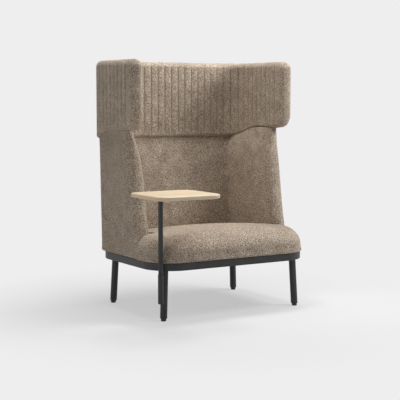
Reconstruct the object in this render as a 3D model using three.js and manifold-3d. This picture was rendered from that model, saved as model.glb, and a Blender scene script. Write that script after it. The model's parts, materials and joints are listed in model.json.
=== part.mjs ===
// Acoustic high back lounge chair: an upholstered seat, side wings and back on a black steel base,
// a U-shaped channelled hood above them, and a small wooden table that swivels on a post beside the seat.
// Millimetres, +Z up. The chair faces -Y. Chair coordinates are centred on the base ring, and the last
// lines move the whole group so that its origin is at the bottom centre of its box.
import * as THREE from 'three';
import { mergeVertices } from 'three/addons/utils/BufferGeometryUtils.js';
import Module from 'manifold-3d';

const wasm = await Module();
wasm.setup();
const { Manifold } = wasm;

// Gaps and overruns
const gap = 0.3; // between pieces that touch
const runningGap = 0.3; // between the post and its bushes
const overrun = 20; // how far a cutting shape runs past what it cuts
const weld = 0.0005; // corners nearer than this are one corner

// Base ring: a steel channel that opens inwards, welded from four rails and four bends
const ringWidth = 934;
const ringDepth = 698;
const ringCornerRadius = 160;
const ringBottom = 255.4;
const ringHeight = 38;
const ringFlange = 22;
const ringWall = 3;

// Cross rails between the flanges
const railHeight = 30;
const railWidth = 40;
const railWall = 2;
const railSpread = 300; // from one rail's middle to the other's

// Legs, in tube, splayed outwards
const legDiameter = 36;
const legWall = 2;
const legPlugDepth = 22;
const legSplaySide = 12;
const legSplayLong = 8;
const legClearance = 1; // between a leg and the edge of the flange
const frontLegAngle = THREE.MathUtils.degToRad(46); // round the ring's corner, from the side
const rearLegAngle = THREE.MathUtils.degToRad(54.8);
const glideDiameter = 27;
const glideHeight = 13;
const glideRound = 3.5;
const glideStem = 20;
const legPlateThickness = 5;
const legPlateReach = 148; // from the ring's inner wall towards the middle
const legPlateChamfer = 40;
const legBoltDiameter = 10;
const legBoltLength = 22;
const legBoltClearance = 1.2; // round the bolt, so that it can stand upright in the leaning leg

// Plywood boards inside the upholstery
const deckThickness = 12;
const deckInset = 5;
const boardThickness = 12;
const boardCover = 14; // foam and cloth outside a board

// Seat cushion
const seatOverhang = 8; // past the ring, at the front and sides
const seatCornerRadius = 170;
const seatTuck = 8; // how far the lower edge draws in
const seatBulgeLow = 20; // heights above the ring
const seatBulgeHigh = 40;
const seatEdgeRound = 128;
const seatHeight = 440; // of the crown, above the floor
const seatFrontFall = 13;
const seatRearFall = 48;
const seatSideFall = 26;
const seatCrownShare = 0.33; // how far back the seat is highest
const seatRearFallPower = 1.6;
const seatHeldShare = 0.12; // how much of the rounded edge is left where wings and back hold the cushion
const deckScrewShare = 0.8; // how far out the front screws are on the straight of the ring

// Lower shell: wings and back
const shellOverhangSide = 8;
const shellOverhangBack = 37;
const shellCornerRadius = 150;
const shellTuck = 7;
const shellTaper = 6; // how much the outside draws in from the hood down to the ring
const wingThickness = 98; // behind the rounded front edge
const wingRearThickness = 116; // at the crease between wing and back
const wingTopThickness = 50;
const wingRearTopThickness = 66;
const wingFrontFromRing = 220; // from the ring's front to the wing's, at the bottom
const wingSlope = 109; // how far the wing's front edge leans back at the top
const noseDepth = 52; // of the rounded front edge
const noseDepthLow = 7;
const noseStartShare = 0.17; // height at which the front edge begins to round off
const noseGrowShare = 0.15;
const creaseRadius = 24;
const backThicknessLow = 99; // at the seat
const backThicknessTop = 45;
const backCrown = 12;
const shellLiftShare = 0.45; // height from which the shell's levels bend up towards the hood's edge
const shellIntoHoodShare = 1.2; // how far the shell runs up into the hood, per radius of the hood's edge

// Hood
const hoodWidth = 982;
const hoodTop = 1300;
const hoodThickness = 70;
const hoodOverhangBack = 13; // past the shell
const hoodDepth = 534;
const hoodCornerRadius = 168;
const hoodEdgeRound = 33; // along the top
const hoodFootRound = 15; // along the bottom
const hoodTopFrontRadius = 44;
const hoodLowFrontRadius = 76;
const hoodBottomBack = 888;
const hoodBottomRise = 56; // from the back to the wings
const hoodRiseStart = 45; // from the hood's back forwards
const hoodRiseLength = 260;
const channelPitch = 42;
const channelWidth = 11;
const channelDepth = 4.5;
const channelTopMargin = 34;
const channelLowMargin = 26;

// Uprights and boards that carry the hood
const uprightWidth = 40;
const uprightThickness = 6;
const uprightSpacing = 440;
const uprightBelow = 290; // below the back of the hood
const uprightAbove = 262;
const hoodBoardMargin = 58;
const hoodBoardFront = 60;
const reclineShare = 0.04; // how far the back board leans back, as a share of its height
const shellBoltDiameter = 6;
const shellBoltLength = 30;

// Side table
const tabletopWidth = 352;
const tabletopDepth = 338;
const tabletopThickness = 20;
const tabletopHeight = 646;
const tabletopCornerRadius = 60;
const tabletopEdgeRound = 6;
const tabletopFromPostSide = 42; // from the post to the middle of the top
const tabletopFromPostFront = 72;
const postDiameter = 24;
const postClearance = 10; // between the post and the cushion
const postAngle = THREE.MathUtils.degToRad(45.4);
const spigotDiameter = 19;
const socketDiameter = 28;
const socketWall = 2;
const socketBottom = 99;
const socketTop = 240;
const socketCapThickness = 6;
const bushLength = 24;
const bushFlange = 2;
const bracketBottom = 150;
const bracketHeight = 79;
const bracketThickness = 6;
const tablePlateSize = 110;
const tablePlateThickness = 4;
const tablePlateRadius = 16;
const tableScrewInset = 15;
const tableScrewDiameter = 5;
const tableScrewLength = 14;
const tableScrewReachShare = 0.8; // of its pilot hole
const screwHeadRatioShare = 1.9; // a screw's head, as a share of its shank
const screwHeadHeightShare = 0.6;
const screwHeadFlatShare = 0.7;
const diagonalShare = 1 - Math.SQRT1_2; // how far the middle of a quarter round stands back, per radius

// Places that follow from the sizes
const ringTop = ringBottom + ringHeight;
const seatBase = ringTop + gap;
const ringFront = -ringDepth / 2;
const ringBack = ringDepth / 2;
const seatFront = ringFront - seatOverhang;
const seatHalf = ringWidth / 2 + seatOverhang;
const shellHalf = ringWidth / 2 + shellOverhangSide;
const shellBack = ringBack + shellOverhangBack;
const wingFront = ringFront + wingFrontFromRing;
const wingInner = shellHalf - wingThickness;
const wingRearInner = shellHalf - wingRearThickness;
const hoodHalf = hoodWidth / 2;
const hoodBack = shellBack + hoodOverhangBack;
const hoodFront = hoodBack - hoodDepth;
const seatRear = shellBack - backThicknessLow - gap;
const postRadial = seatCornerRadius + postClearance + postDiameter / 2;
const postX = -(seatHalf - seatCornerRadius + postRadial * Math.cos(postAngle));
const postY = seatFront + seatCornerRadius - postRadial * Math.sin(postAngle);

// Small helpers

function clamp01(v) {
  return Math.min(1, Math.max(0, v));
}

function smoothstep(v) {
  const t = clamp01(v);
  return t * t * (3 - 2 * t);
}

function mix(a, b, t) {
  return a + (b - a) * t;
}

// Straight lines between [place, value] pairs.
function follow(pairs, place) {
  for (let i = 1; i < pairs.length; i++) {
    if (place <= pairs[i][0]) {
      const span = pairs[i][0] - pairs[i - 1][0];
      return mix(pairs[i - 1][1], pairs[i][1], clamp01((place - pairs[i - 1][0]) / span));
    }
  }
  return pairs[pairs.length - 1][1];
}

// How far a quarter round of this radius stands back at a depth below its edge.
function setback(radius, depth) {
  const rest = Math.max(0, radius - depth);
  return radius - Math.sqrt(radius * radius - rest * rest);
}

function toSolid(geometry) {
  const bare = geometry.clone();
  bare.deleteAttribute('normal');
  bare.deleteAttribute('uv');
  const merged = mergeVertices(bare, weld);
  return new Manifold(new wasm.Mesh({
    numProp: 3,
    vertProperties: new Float32Array(merged.attributes.position.array),
    triVerts: new Uint32Array(merged.index.array),
  }));
}

function toGeometry(solid) {
  const mesh = solid.getMesh();
  const geometry = new THREE.BufferGeometry();
  geometry.setAttribute('position', new THREE.BufferAttribute(new Float32Array(mesh.vertProperties), 3));
  geometry.setIndex(new THREE.BufferAttribute(new Uint32Array(mesh.triVerts), 1));
  const flat = geometry.toNonIndexed();
  flat.computeVertexNormals();
  return flat;
}

function box(x0, x1, y0, y1, z0, z1) {
  const geometry = new THREE.BoxGeometry(x1 - x0, y1 - y0, z1 - z0);
  return geometry.translate((x0 + x1) / 2, (y0 + y1) / 2, (z0 + z1) / 2);
}

function roundedRectangle(width, depth, radius) {
  const shape = new THREE.Shape();
  const x = width / 2 - radius;
  const y = depth / 2 - radius;
  shape.absarc(x, y, radius, 0, Math.PI / 2);
  shape.absarc(-x, y, radius, Math.PI / 2, Math.PI);
  shape.absarc(-x, -y, radius, Math.PI, Math.PI * 1.5);
  shape.absarc(x, -y, radius, Math.PI * 1.5, Math.PI * 2);
  return shape;
}

function slab(shape, bottom, height, curveSegments = 8) {
  const options = { depth: height, bevelEnabled: false, curveSegments };
  return new THREE.ExtrudeGeometry(shape, options).translate(0, 0, bottom);
}

// A turned piece. The profile is a closed loop of [radius, height] pairs, or starts and ends on the axis.
function turned(profile, segments) {
  const points = profile.map(([r, z]) => new THREE.Vector2(r, z));
  return new THREE.LatheGeometry(points, segments).rotateX(Math.PI / 2);
}

function rod(diameter, bottom, top, segments = 16) {
  const r = diameter / 2;
  return turned([[0, bottom], [r, bottom], [r, top], [0, top]], segments);
}

function tube(diameter, wall, bottom, top, segments = 24) {
  const outer = diameter / 2;
  const inner = outer - wall;
  return turned([[inner, bottom], [outer, bottom], [outer, top], [inner, top], [inner, bottom]], segments);
}

// A skin over rings of points, each ring anticlockwise seen from above, from the bottom ring to the top.
// The function closes a ring: it gives triangles that face up, and may add points to the list.
function loft(rings, close) {
  const count = rings[0].length;
  const points = rings.flat();
  const index = [];
  for (let k = 0; k + 1 < rings.length; k++) {
    for (let i = 0; i < count; i++) {
      const a = k * count + i;
      const b = k * count + ((i + 1) % count);
      index.push(a, b, b + count, a, b + count, a + count);
    }
  }
  close(points, 0, count).forEach(([a, b, c]) => index.push(a, c, b));
  close(points, (rings.length - 1) * count, count).forEach(([a, b, c]) => index.push(a, b, c));
  const geometry = new THREE.BufferGeometry();
  const positions = points.flatMap((p) => [p.x, p.y, p.z]);
  geometry.setAttribute('position', new THREE.Float32BufferAttribute(positions, 3));
  geometry.setIndex(index);
  return geometry;
}

// Closes a ring with a fan round its middle, for an outline that can be seen whole from there.
function fan(points, start, count) {
  const ring = points.slice(start, start + count);
  const front = Math.min(...ring.map((p) => p.y));
  const rear = Math.max(...ring.map((p) => p.y));
  const z = ring.reduce((sum, p) => sum + p.z, 0) / count;
  const middle = points.push({ x: 0, y: mix(front, rear, 0.25), z }) - 1;
  return ring.map((_, i) => [start + i, start + ((i + 1) % count), middle]);
}

// Closes a ring with a fan round the mean of its corners.
function fanBetween(points, start, count) {
  const ring = points.slice(start, start + count);
  const mean = (key) => ring.reduce((sum, p) => sum + p[key], 0) / count;
  const middle = points.push({ x: mean('x'), y: mean('y'), z: mean('z') }) - 1;
  return ring.map((_, i) => [start + i, start + ((i + 1) % count), middle]);
}

// Closes a U-shaped ring by joining its outer and inner sides from one front end to the other.
function zip(points, start, count) {
  const ring = points.slice(start, start + count);
  const tip = ring.reduce((best, p, i) => (p.x > 0 && p.y < ring[best].y - weld ? i : best),
    ring.findIndex((p) => p.x > 0));
  const at = (i) => start + ((tip + i + count) % count);
  const far = (i, j) => Math.hypot(points[at(i)].x - points[at(j)].x, points[at(i)].y - points[at(j)].y);
  const triangles = [];
  let i = 0;
  let j = count;
  while (j - i > 2) {
    if (far(i + 1, j) < far(i, j - 1)) {
      triangles.push([at(i), at(i + 1), at(j)]);
      i += 1;
    } else {
      triangles.push([at(i), at(j - 1), at(j)]);
      j -= 1;
    }
  }
  triangles.push([at(i), at(i + 1), at(j)]);
  return triangles.filter(([a, b, c]) => a !== b && b !== c && a !== c);
}

// The whole outline from its right half, which runs from the front or inside middle to the other middle.
function mirrored(half) {
  const left = half.filter((p) => p.x > weld).map((p) => ({ ...p, x: -p.x, nx: -p.nx })).reverse();
  return [...half, ...left];
}

function arc(cx, cy, rx, ry, from, to, steps) {
  return Array.from({ length: steps + 1 }, (_, i) => {
    const a = mix(from, to, i / steps);
    return { x: cx + rx * Math.cos(a), y: cy + ry * Math.sin(a) };
  });
}

const steel = { color: 0x26282a, roughness: 0.55, metalness: 0.6 };
const zinc = { color: 0x9a9a98, roughness: 0.4, metalness: 0.9 };
const wool = { color: 0x93826f, roughness: 0.95, metalness: 0 };
const plywood = { color: 0xc9a877, roughness: 0.7, metalness: 0 };
const ash = { color: 0xe6d3b3, roughness: 0.5, metalness: 0 };
const blackPlastic = { color: 0x1b1c1d, roughness: 0.5, metalness: 0 };

const chair = new THREE.Group();

function add(name, geometry, look, place = [0, 0, 0], parent = chair) {
  const mesh = new THREE.Mesh(geometry, new THREE.MeshStandardMaterial(look));
  mesh.name = name;
  mesh.position.set(...place);
  parent.add(mesh);
  return mesh;
}

// Base: ring, rails, leg plates, legs, glides and their bolts

function ringOutline(inset) {
  const corner = ringCornerRadius - inset;
  return roundedRectangle(ringWidth - 2 * inset, ringDepth - 2 * inset, corner);
}

// The straight rails end where the bends begin.
const bendX = ringWidth / 2 - ringCornerRadius;
const bendY = ringDepth / 2 - ringCornerRadius;

function wholeRing() {
  const outside = toSolid(slab(ringOutline(0), ringBottom, ringHeight));
  const middle = toSolid(slab(ringOutline(ringFlange), ringBottom - overrun, ringHeight + 2 * overrun));
  const channel = toSolid(slab(ringOutline(ringWall), ringBottom + ringWall, ringHeight - 2 * ringWall));
  const holes = Manifold.union([...shellBoltPlaces(), ...deckScrewPlaces()].map(([x, y]) => (
    toSolid(rod(shellBoltDiameter + 2 * gap, ringTop - ringWall - overrun, ringTop + overrun, 12)
      .translate(x, y, 0)))));
  return outside.subtract(middle).subtract(channel).subtract(holes);
}

// The part of the ring inside a rectangle in plan.
function ringPiece(ring, x0, x1, y0, y1) {
  return toGeometry(ring.intersect(toSolid(box(x0, x1, y0, y1, 0, ringTop + overrun))));
}

function addRing() {
  const ring = wholeRing();
  const farX = ringWidth;
  const farY = ringDepth;
  for (const [name, end] of [['front', -1], ['rear', 1]]) {
    const [y0, y1] = end < 0 ? [-farY, -bendY] : [bendY, farY];
    add(`ring_${name}_rail`, ringPiece(ring, gap - bendX, bendX - gap, y0, y1), steel);
    for (const [hand, side] of [['left', -1], ['right', 1]]) {
      const [x0, x1] = side < 0 ? [-farX, -bendX] : [bendX, farX];
      add(`ring_${name}_${hand}_bend`, ringPiece(ring, x0, x1, y0, y1), steel);
    }
  }
  add('ring_left_rail', ringPiece(ring, -farX, -bendX, gap - bendY, bendY - gap), steel);
  add('ring_right_rail', ringPiece(ring, bendX, farX, gap - bendY, bendY - gap), steel);
}

function crossRail() {
  const half = ringWidth / 2 - ringFlange - gap;
  const depth = railWidth / 2;
  const low = ringTop - railHeight;
  const outer = box(-half, half, -depth, depth, low, ringTop);
  const bore = box(-half - overrun, half + overrun, -depth + railWall, depth - railWall, low + railWall,
    ringTop - railWall);
  return toGeometry(toSolid(outer).subtract(toSolid(bore)));
}

// Where a leg's top is, for side and end of -1 or 1.
function legTop(side, end) {
  const angle = end < 0 ? frontLegAngle : rearLegAngle;
  const reach = ringCornerRadius - ringFlange - legClearance - legDiameter / 2;
  return [
    side * (bendX + reach * Math.cos(angle)),
    end * (bendY + reach * Math.sin(angle)),
  ];
}

const legTopHeight = ringBottom + ringWall;
const plateBottom = legTopHeight + gap;

// Leans a piece that stands on the leg's top centre so that its foot is splayed. Its ends stay level.
function splayed(geometry, side, end) {
  const lean = new THREE.Matrix4().makeShear(0, 0, 0, 0, 0, 0);
  lean.elements[8] = (-side * legSplaySide) / legTopHeight;
  lean.elements[9] = (-end * legSplayLong) / legTopHeight;
  return geometry.translate(0, 0, -legTopHeight).applyMatrix4(lean).translate(0, 0, legTopHeight);
}

function leg(side, end) {
  const outer = legDiameter / 2;
  const inner = outer - legWall;
  const bolt = legBoltDiameter / 2 + legBoltClearance;
  const foot = glideHeight + gap;
  const plug = legTopHeight - legPlugDepth;
  const profile = [[inner, foot], [outer, foot], [outer, legTopHeight], [bolt, legTopHeight], [bolt, plug],
    [inner, plug], [inner, foot]];
  return splayed(turned(profile, 24), side, end);
}

function glide(side, end) {
  const r = glideDiameter / 2;
  const stem = legDiameter / 2 - legWall - gap;
  const cut = glideRound * diagonalShare;
  const high = glideHeight + glideStem;
  const profile = [[0, 0], [r - glideRound, 0], [r - cut, cut], [r, glideRound], [r, glideHeight],
    [stem, glideHeight], [stem, high], [0, high]];
  return splayed(turned(profile, 24), side, end);
}

function legPlate(side, end) {
  const inset = ringWall + gap;
  const sheet = toSolid(slab(ringOutline(inset), plateBottom, legPlateThickness));
  const x1 = ringWidth / 2;
  const y1 = ringDepth / 2;
  const x0 = x1 - inset - legPlateReach;
  const y0 = y1 - inset - legPlateReach;
  const corner = new THREE.Shape();
  corner.moveTo(side * x1, end * y1);
  corner.lineTo(side * x0, end * y1);
  corner.lineTo(side * x0, end * (y0 + legPlateChamfer));
  corner.lineTo(side * (x0 + legPlateChamfer), end * y0);
  corner.lineTo(side * x1, end * y0);
  const [x, y] = legTop(side, end);
  const area = toSolid(slab(corner, plateBottom - overrun, legPlateThickness + 2 * overrun));
  const bore = legBoltDiameter + 2 * legBoltClearance;
  const hole = toSolid(rod(bore, plateBottom - overrun, plateBottom + overrun).translate(x, y, 0));
  return toGeometry(sheet.intersect(area).subtract(hole));
}

// A screw with a low round head at its lower end, and its shank upwards from height zero.
function screw(diameter, length) {
  const r = diameter / 2;
  const head = r * screwHeadRatioShare;
  const drop = diameter * screwHeadHeightShare;
  const profile = [[0, -drop], [head * screwHeadFlatShare, -drop], [head, -drop / 2], [head, 0], [r, 0],
    [r, length], [0, length]];
  return turned(profile, 12);
}

function legBolt() {
  const head = plateBottom + legPlateThickness + gap;
  return screw(legBoltDiameter, legBoltLength).rotateX(Math.PI).translate(0, 0, head);
}

function addBase() {
  addRing();
  for (const [name, end] of [['front', -1], ['rear', 1]]) {
    add(`${name}_cross_rail`, crossRail(), steel, [0, (end * railSpread) / 2, 0]);
    for (const [hand, side] of [['left', -1], ['right', 1]]) {
      const [x, y] = legTop(side, end);
      add(`${name}_${hand}_leg_plate`, legPlate(side, end), steel);
      add(`${name}_${hand}_leg`, leg(side, end), steel, [x, y, 0]);
      add(`${name}_${hand}_foot_glide`, glide(side, end), blackPlastic, [x, y, 0]);
      add(`${name}_${hand}_leg_bolt`, legBolt(), zinc, [x, y, 0]);
    }
  }
}

// Seat: plywood deck and cushion

function deckOutline(inset) {
  const side = wingRearInner - boardThickness - inset;
  const full = toSolid(slab(ringOutline(deckInset + inset), seatBase - overrun, deckThickness + overrun));
  const low = seatBase - 2 * overrun;
  const high = seatBase + 4 * overrun;
  const cut = (x0, x1, y0, y1) => toSolid(box(x0, x1, y0, y1, low, high));
  const earBack = wingFront - boardThickness - inset;
  const far = ringWidth;
  return full
    .subtract(cut(side, far, earBack, far))
    .subtract(cut(-far, -side, earBack, far))
    .subtract(cut(-far, far, seatRear - boardThickness - inset, far));
}

function deckScrewPlaces() {
  const x = ringWidth / 2 - (ringFlange + ringWall) / 2;
  const y = ringFront + (ringFlange + ringWall) / 2;
  const front = bendX * deckScrewShare;
  const side = -railSpread / 2 - railWidth / 2;
  return [[-front, y], [front, y], [-x, side], [x, side]];
}

function seatDeck() {
  const sheet = deckOutline(0).intersect(toSolid(box(-ringWidth, ringWidth, -ringDepth, ringDepth,
    seatBase, seatBase + deckThickness)));
  const pilot = rod(shellBoltDiameter + 2 * gap, seatBase - overrun, seatBase + deckThickness + overrun, 12);
  const holes = Manifold.union(deckScrewPlaces().map(([x, y]) => toSolid(pilot.clone().translate(x, y, 0))));
  return toGeometry(sheet.subtract(holes));
}

// The right half of the cushion's outline. Each point has its inward direction, and how much of the
// rounded edge it takes: all at the front and sides, little where the cushion meets the wings and back.
function cushionHalf() {
  const r = seatCornerRadius;
  const cx = seatHalf - r;
  const cy = seatFront + r;
  const hem = wingInner - gap;
  const ear = wingFront - gap;
  const held = seatHeldShare;
  const half = [0, cx / 2].map((x) => ({ x, y: seatFront, nx: 0, ny: 1, roll: 1 }));
  for (const p of arc(cx, cy, r, r, -Math.PI / 2, 0, 7)) {
    half.push({ ...p, nx: (cx - p.x) / r, ny: (cy - p.y) / r, roll: 1 });
  }
  half.push({ x: seatHalf, y: ear, nx: -1, ny: -held, roll: 1 });
  half.push({ x: mix(seatHalf, hem, 0.5), y: ear, nx: 0, ny: -1, roll: held });
  half.push({ x: hem, y: ear, nx: -1, ny: -1, roll: held });
  half.push({ x: hem, y: mix(ear, seatRear, 0.5), nx: -1, ny: 0, roll: held });
  half.push({ x: hem, y: seatRear - creaseRadius, nx: -1, ny: 0, roll: held });
  const cut = creaseRadius * diagonalShare;
  half.push({ x: hem - cut, y: seatRear - cut, nx: -Math.SQRT1_2, ny: -Math.SQRT1_2, roll: held });
  half.push({ x: hem - creaseRadius, y: seatRear, nx: 0, ny: -1, roll: held });
  half.push({ x: 0, y: seatRear, nx: 0, ny: -1, roll: held });
  return half;
}

function seatCrown(x, y) {
  const fore = (y - seatFront) / (seatRear - seatFront);
  const along = fore < seatCrownShare
    ? -seatFrontFall * Math.pow(1 - fore / seatCrownShare, 2)
    : -seatRearFall * Math.pow((fore - seatCrownShare) / (1 - seatCrownShare), seatRearFallPower);
  const across = x / seatHalf;
  return seatHeight + along - seatSideFall * across * across;
}

function cushionForm() {
  const outline = mirrored(cushionHalf());
  const shoulder = seatBase + seatBulgeHigh;
  const rings = [];
  const flatRing = (inset, z) => outline.map((p) => {
    const roll = p.roll * inset;
    return { x: p.x + p.nx * roll, y: p.y + p.ny * roll, z };
  });
  rings.push(flatRing(seatTuck * 1.6, seatBase));
  rings.push(flatRing(seatTuck * 0.5, seatBase + seatTuck));
  rings.push(flatRing(0, seatBase + seatBulgeLow));
  rings.push(flatRing(0, shoulder));
  for (let k = 1; k <= 5; k++) {
    const a = ((Math.PI / 2) * k) / 5;
    rings.push(outline.map((p) => {
      const inset = p.roll * seatEdgeRound * (1 - Math.cos(a));
      const x = p.x + p.nx * inset;
      const y = p.y + p.ny * inset;
      return { x, y, z: mix(shoulder, seatCrown(x, y), Math.sin(a)) };
    }));
  }
  const edge = rings[rings.length - 1];
  for (const share of [0.25, 0.5, 0.75]) {
    rings.push(edge.map((p) => {
      const x = p.x * (1 - share);
      const y = mix(p.y, (wingFront + seatFront) / 2 + creaseRadius, share);
      return { x, y, z: seatCrown(x, y) };
    }));
  }
  return loft(rings, fan);
}

// The cushion is cut by the deck below it and by the wings and back that it is pressed against.
function seatCushion() {
  const shell = toSolid(shellForm());
  const pressed = [[0, -gap, 0], [gap, 0, 0], [-gap, 0, 0]].map((shift) => shell.translate(shift));
  return toGeometry(toSolid(cushionForm()).subtract(Manifold.union(pressed)).subtract(deckOutline(-gap)));
}

function addSeat() {
  add('seat_deck', seatDeck(), plywood);
  add('seat_cushion', seatCushion(), wool);
}

// Hood: a U-shaped band with rounded edges and sewn channels

function hoodBottomAt(y) {
  return hoodBottomBack + hoodBottomRise * smoothstep((hoodBack - hoodRiseStart - y) / hoodRiseLength);
}

// The right half of a U in plan, from the outside of its back, round its front, to the inside of its back.
// The inner side flares outwards, from the crease to the front.
function uHalf({ half, back, corner, thickness, backThickness, front, nose, crease, crown, flare }) {
  const inner = half - thickness;
  const rear = inner - flare;
  const innerBack = back - backThickness;
  const points = [{ x: 0, y: back }];
  points.push(...arc(half - corner, back - corner, corner, corner, Math.PI / 2, 0, 7));
  points.push({ x: half, y: mix(back - corner, front + nose, 0.5) });
  points.push(...arc(half - thickness / 2, front + nose, thickness / 2, nose, 0, -Math.PI, 6));
  points.push({ x: mix(rear, inner, 0.5), y: mix(innerBack - crease, front + nose, 0.5) });
  points.push(...arc(rear - crease, innerBack - crease, crease, crease, 0, Math.PI / 2, 4));
  for (const share of [0.66, 0.33, 0]) {
    points.push({ x: (rear - crease) * share, y: innerBack - crown * (1 - share * share) });
  }
  return points;
}

// A whole ring at heights given by a function of the point, anticlockwise from above.
function uRing(sizes, heightAt) {
  return mirrored(uHalf(sizes)).map((p) => ({ x: p.x, y: p.y, z: heightAt(p) })).reverse();
}

function hoodSizes(depth, frontRadius, edgeRound) {
  const roll = setback(edgeRound, depth);
  return {
    half: hoodHalf - roll,
    back: hoodBack - roll,
    corner: hoodCornerRadius - roll,
    thickness: hoodThickness - 2 * roll,
    backThickness: hoodThickness - 2 * roll,
    front: hoodFront + setback(frontRadius, depth),
    nose: hoodThickness / 2,
    crease: hoodCornerRadius - hoodThickness + roll,
    crown: 0,
    flare: 0,
  };
}

function hoodForm() {
  const rollShares = [0, 0.12, 0.4, 1];
  const lowDepths = [...rollShares.map((share) => share * hoodFootRound),
    mix(hoodFootRound, hoodLowFrontRadius, 0.35), hoodLowFrontRadius];
  const highDepths = [hoodTopFrontRadius, ...rollShares.map((share) => share * hoodEdgeRound).reverse()];
  const rings = [
    ...lowDepths.map((depth) => (
      uRing(hoodSizes(depth, hoodLowFrontRadius, hoodFootRound), (p) => hoodBottomAt(p.y) + depth))),
    ...highDepths.map((depth) => (
      uRing(hoodSizes(depth, hoodTopFrontRadius, hoodEdgeRound), () => hoodTop - depth))),
  ];
  return loft(rings, zip);
}

// Places along one face of the hood, evenly spaced, each with the angle that faces out of that face.
function channelPlaces(half, back, corner, facing) {
  const side = back - corner - (hoodFront + hoodThickness / 2);
  const bend = (Math.PI / 2) * corner;
  const across = 2 * (half - corner);
  const whole = 2 * side + 2 * bend + across;
  const count = Math.round(whole / channelPitch);
  return Array.from({ length: count - 1 }, (_, i) => {
    const s = ((i + 1) * whole) / count;
    const mirror = s > whole / 2 ? -1 : 1;
    const t = mirror > 0 ? s : whole - s;
    let place;
    if (t < side) {
      place = { x: half, y: back - corner - side + t, angle: 0 };
    } else if (t < side + bend) {
      const a = (t - side) / corner;
      place = { x: half - corner + corner * Math.cos(a), y: back - corner + corner * Math.sin(a), angle: a };
    } else {
      place = { x: half - corner - (t - side - bend), y: back, angle: Math.PI / 2 };
    }
    const angle = mirror > 0 ? place.angle : Math.PI - place.angle;
    return { x: mirror * place.x, y: place.y, angle: facing > 0 ? angle : angle + Math.PI };
  });
}

// One sewn channel: a narrow valley pressed into the face.
function channelCutter({ x, y, angle }) {
  const shape = new THREE.Shape();
  shape.moveTo(-channelDepth, 0);
  shape.lineTo(channelDepth, -channelWidth);
  shape.lineTo(channelDepth, channelWidth);
  const bottom = hoodBottomAt(y) + channelLowMargin;
  const prism = slab(shape, bottom, hoodTop - channelTopMargin - bottom);
  return toSolid(prism.rotateZ(angle).translate(x, y, 0));
}

function hoodChannels() {
  const inner = hoodThickness;
  const places = [
    ...channelPlaces(hoodHalf, hoodBack, hoodCornerRadius, 1),
    ...channelPlaces(hoodHalf - inner, hoodBack - inner, hoodCornerRadius - inner, -1),
  ];
  return Manifold.union(places.map(channelCutter));
}

// Lower shell: wings and back, first as one form

const shellTop = hoodBottomBack + hoodFootRound * shellIntoHoodShare;
const wingFrontShares = [[0, 0], [0.2, 0], [0.31, 0.115], [0.51, 0.31], [0.61, 0.41], [0.7, 0.52],
  [0.78, 0.63], [0.87, 0.8], [1, 1]];
const wingThicknessShares = [[0, 0], [0.61, 0.03], [0.78, 0.21], [0.87, 0.56], [0.93, 0.87], [1, 1]];
const wingRearThicknessShares = [[0, 0], [0.78, 0.03], [0.87, 0.2], [0.93, 0.45], [1, 1]];
const backThicknessShares = [[0, 0], [0.18, 0], [1, 1]];

function shellSizes(share) {
  const height = share * (shellTop - seatBase);
  const tuck = setback(shellTuck, height);
  const outside = tuck + shellTaper * (1 - share);
  const thickness = mix(wingThickness, wingTopThickness, follow(wingThicknessShares, share));
  const rear = mix(wingRearThickness, wingRearTopThickness, follow(wingRearThicknessShares, share));
  const middle = mix(backThicknessLow, backThicknessTop, follow(backThicknessShares, share));
  return {
    half: shellHalf - outside,
    back: shellBack - outside,
    corner: shellCornerRadius,
    thickness: thickness - outside - tuck,
    backThickness: middle - outside - tuck,
    front: wingFront + wingSlope * follow(wingFrontShares, share),
    nose: mix(noseDepthLow, noseDepth, smoothstep((share - noseStartShare) / noseGrowShare)),
    crease: creaseRadius,
    crown: backCrown * Math.sin(Math.PI * share),
    flare: rear - thickness,
  };
}

function shellForm() {
  const shares = [0, 0.004, 0.012, 0.1, 0.17, 0.24, 0.32, 0.5, 0.61, 0.7, 0.78, 0.87, 0.93, 1];
  return loft(shares.map((share) => {
    const lift = smoothstep((share - shellLiftShare) / (1 - shellLiftShare));
    return uRing(shellSizes(share), (p) => (
      seatBase + share * (shellTop - seatBase) + lift * (hoodBottomAt(p.y) - hoodBottomBack)));
  }), zip);
}

// The space in front of the seam between a wing and the back, moved back by a margin. The seam runs up
// the inner crease and meets the outside where the rear corner begins to bend.
function wingSpace(side, margin) {
  const far = shellHalf + overrun;
  const away = 2 * overrun;
  const seamShares = [0, 0.17, 0.34, 0.5, 0.78, 0.87, 1];
  const rings = seamShares.map((share) => {
    const sizes = shellSizes(share);
    const cut = creaseRadius * diagonalShare;
    const x = sizes.half - sizes.thickness - sizes.flare - cut;
    const y = sizes.back - sizes.backThickness - cut;
    const slope = (shellBack - shellCornerRadius - y) / (shellHalf - x);
    const reach = share === 0 ? -overrun : (share === 1 ? 4 * overrun : 0);
    const z = seatBase + share * (shellTop - seatBase) + reach;
    const corners = [[x - away, wingFront - away], [far, wingFront - away], [far, y + slope * (far - x)],
      [x, y], [x - away, y - away]];
    const ring = corners.map(([cx, cy]) => ({ x: side * cx, y: cy + margin, z }));
    return side > 0 ? ring : ring.reverse();
  });
  return toSolid(loft(rings, fanBetween));
}

// A board that stands in the YZ plane: an outline of [y, z] pairs, from x0 to x1.
function sideBoard(outline, x0, x1) {
  const shape = new THREE.Shape(outline.map(([y, z]) => new THREE.Vector2(y, z)));
  const board = new THREE.ExtrudeGeometry(shape, { depth: x1 - x0, bevelEnabled: false });
  return board.rotateX(Math.PI / 2).rotateZ(Math.PI / 2).translate(x0, 0, 0);
}

function sideBoardX(margin) {
  const outer = ringWidth / 2 - (ringFlange - boardThickness) / 2;
  return [outer - boardThickness - margin, outer + margin];
}

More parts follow.
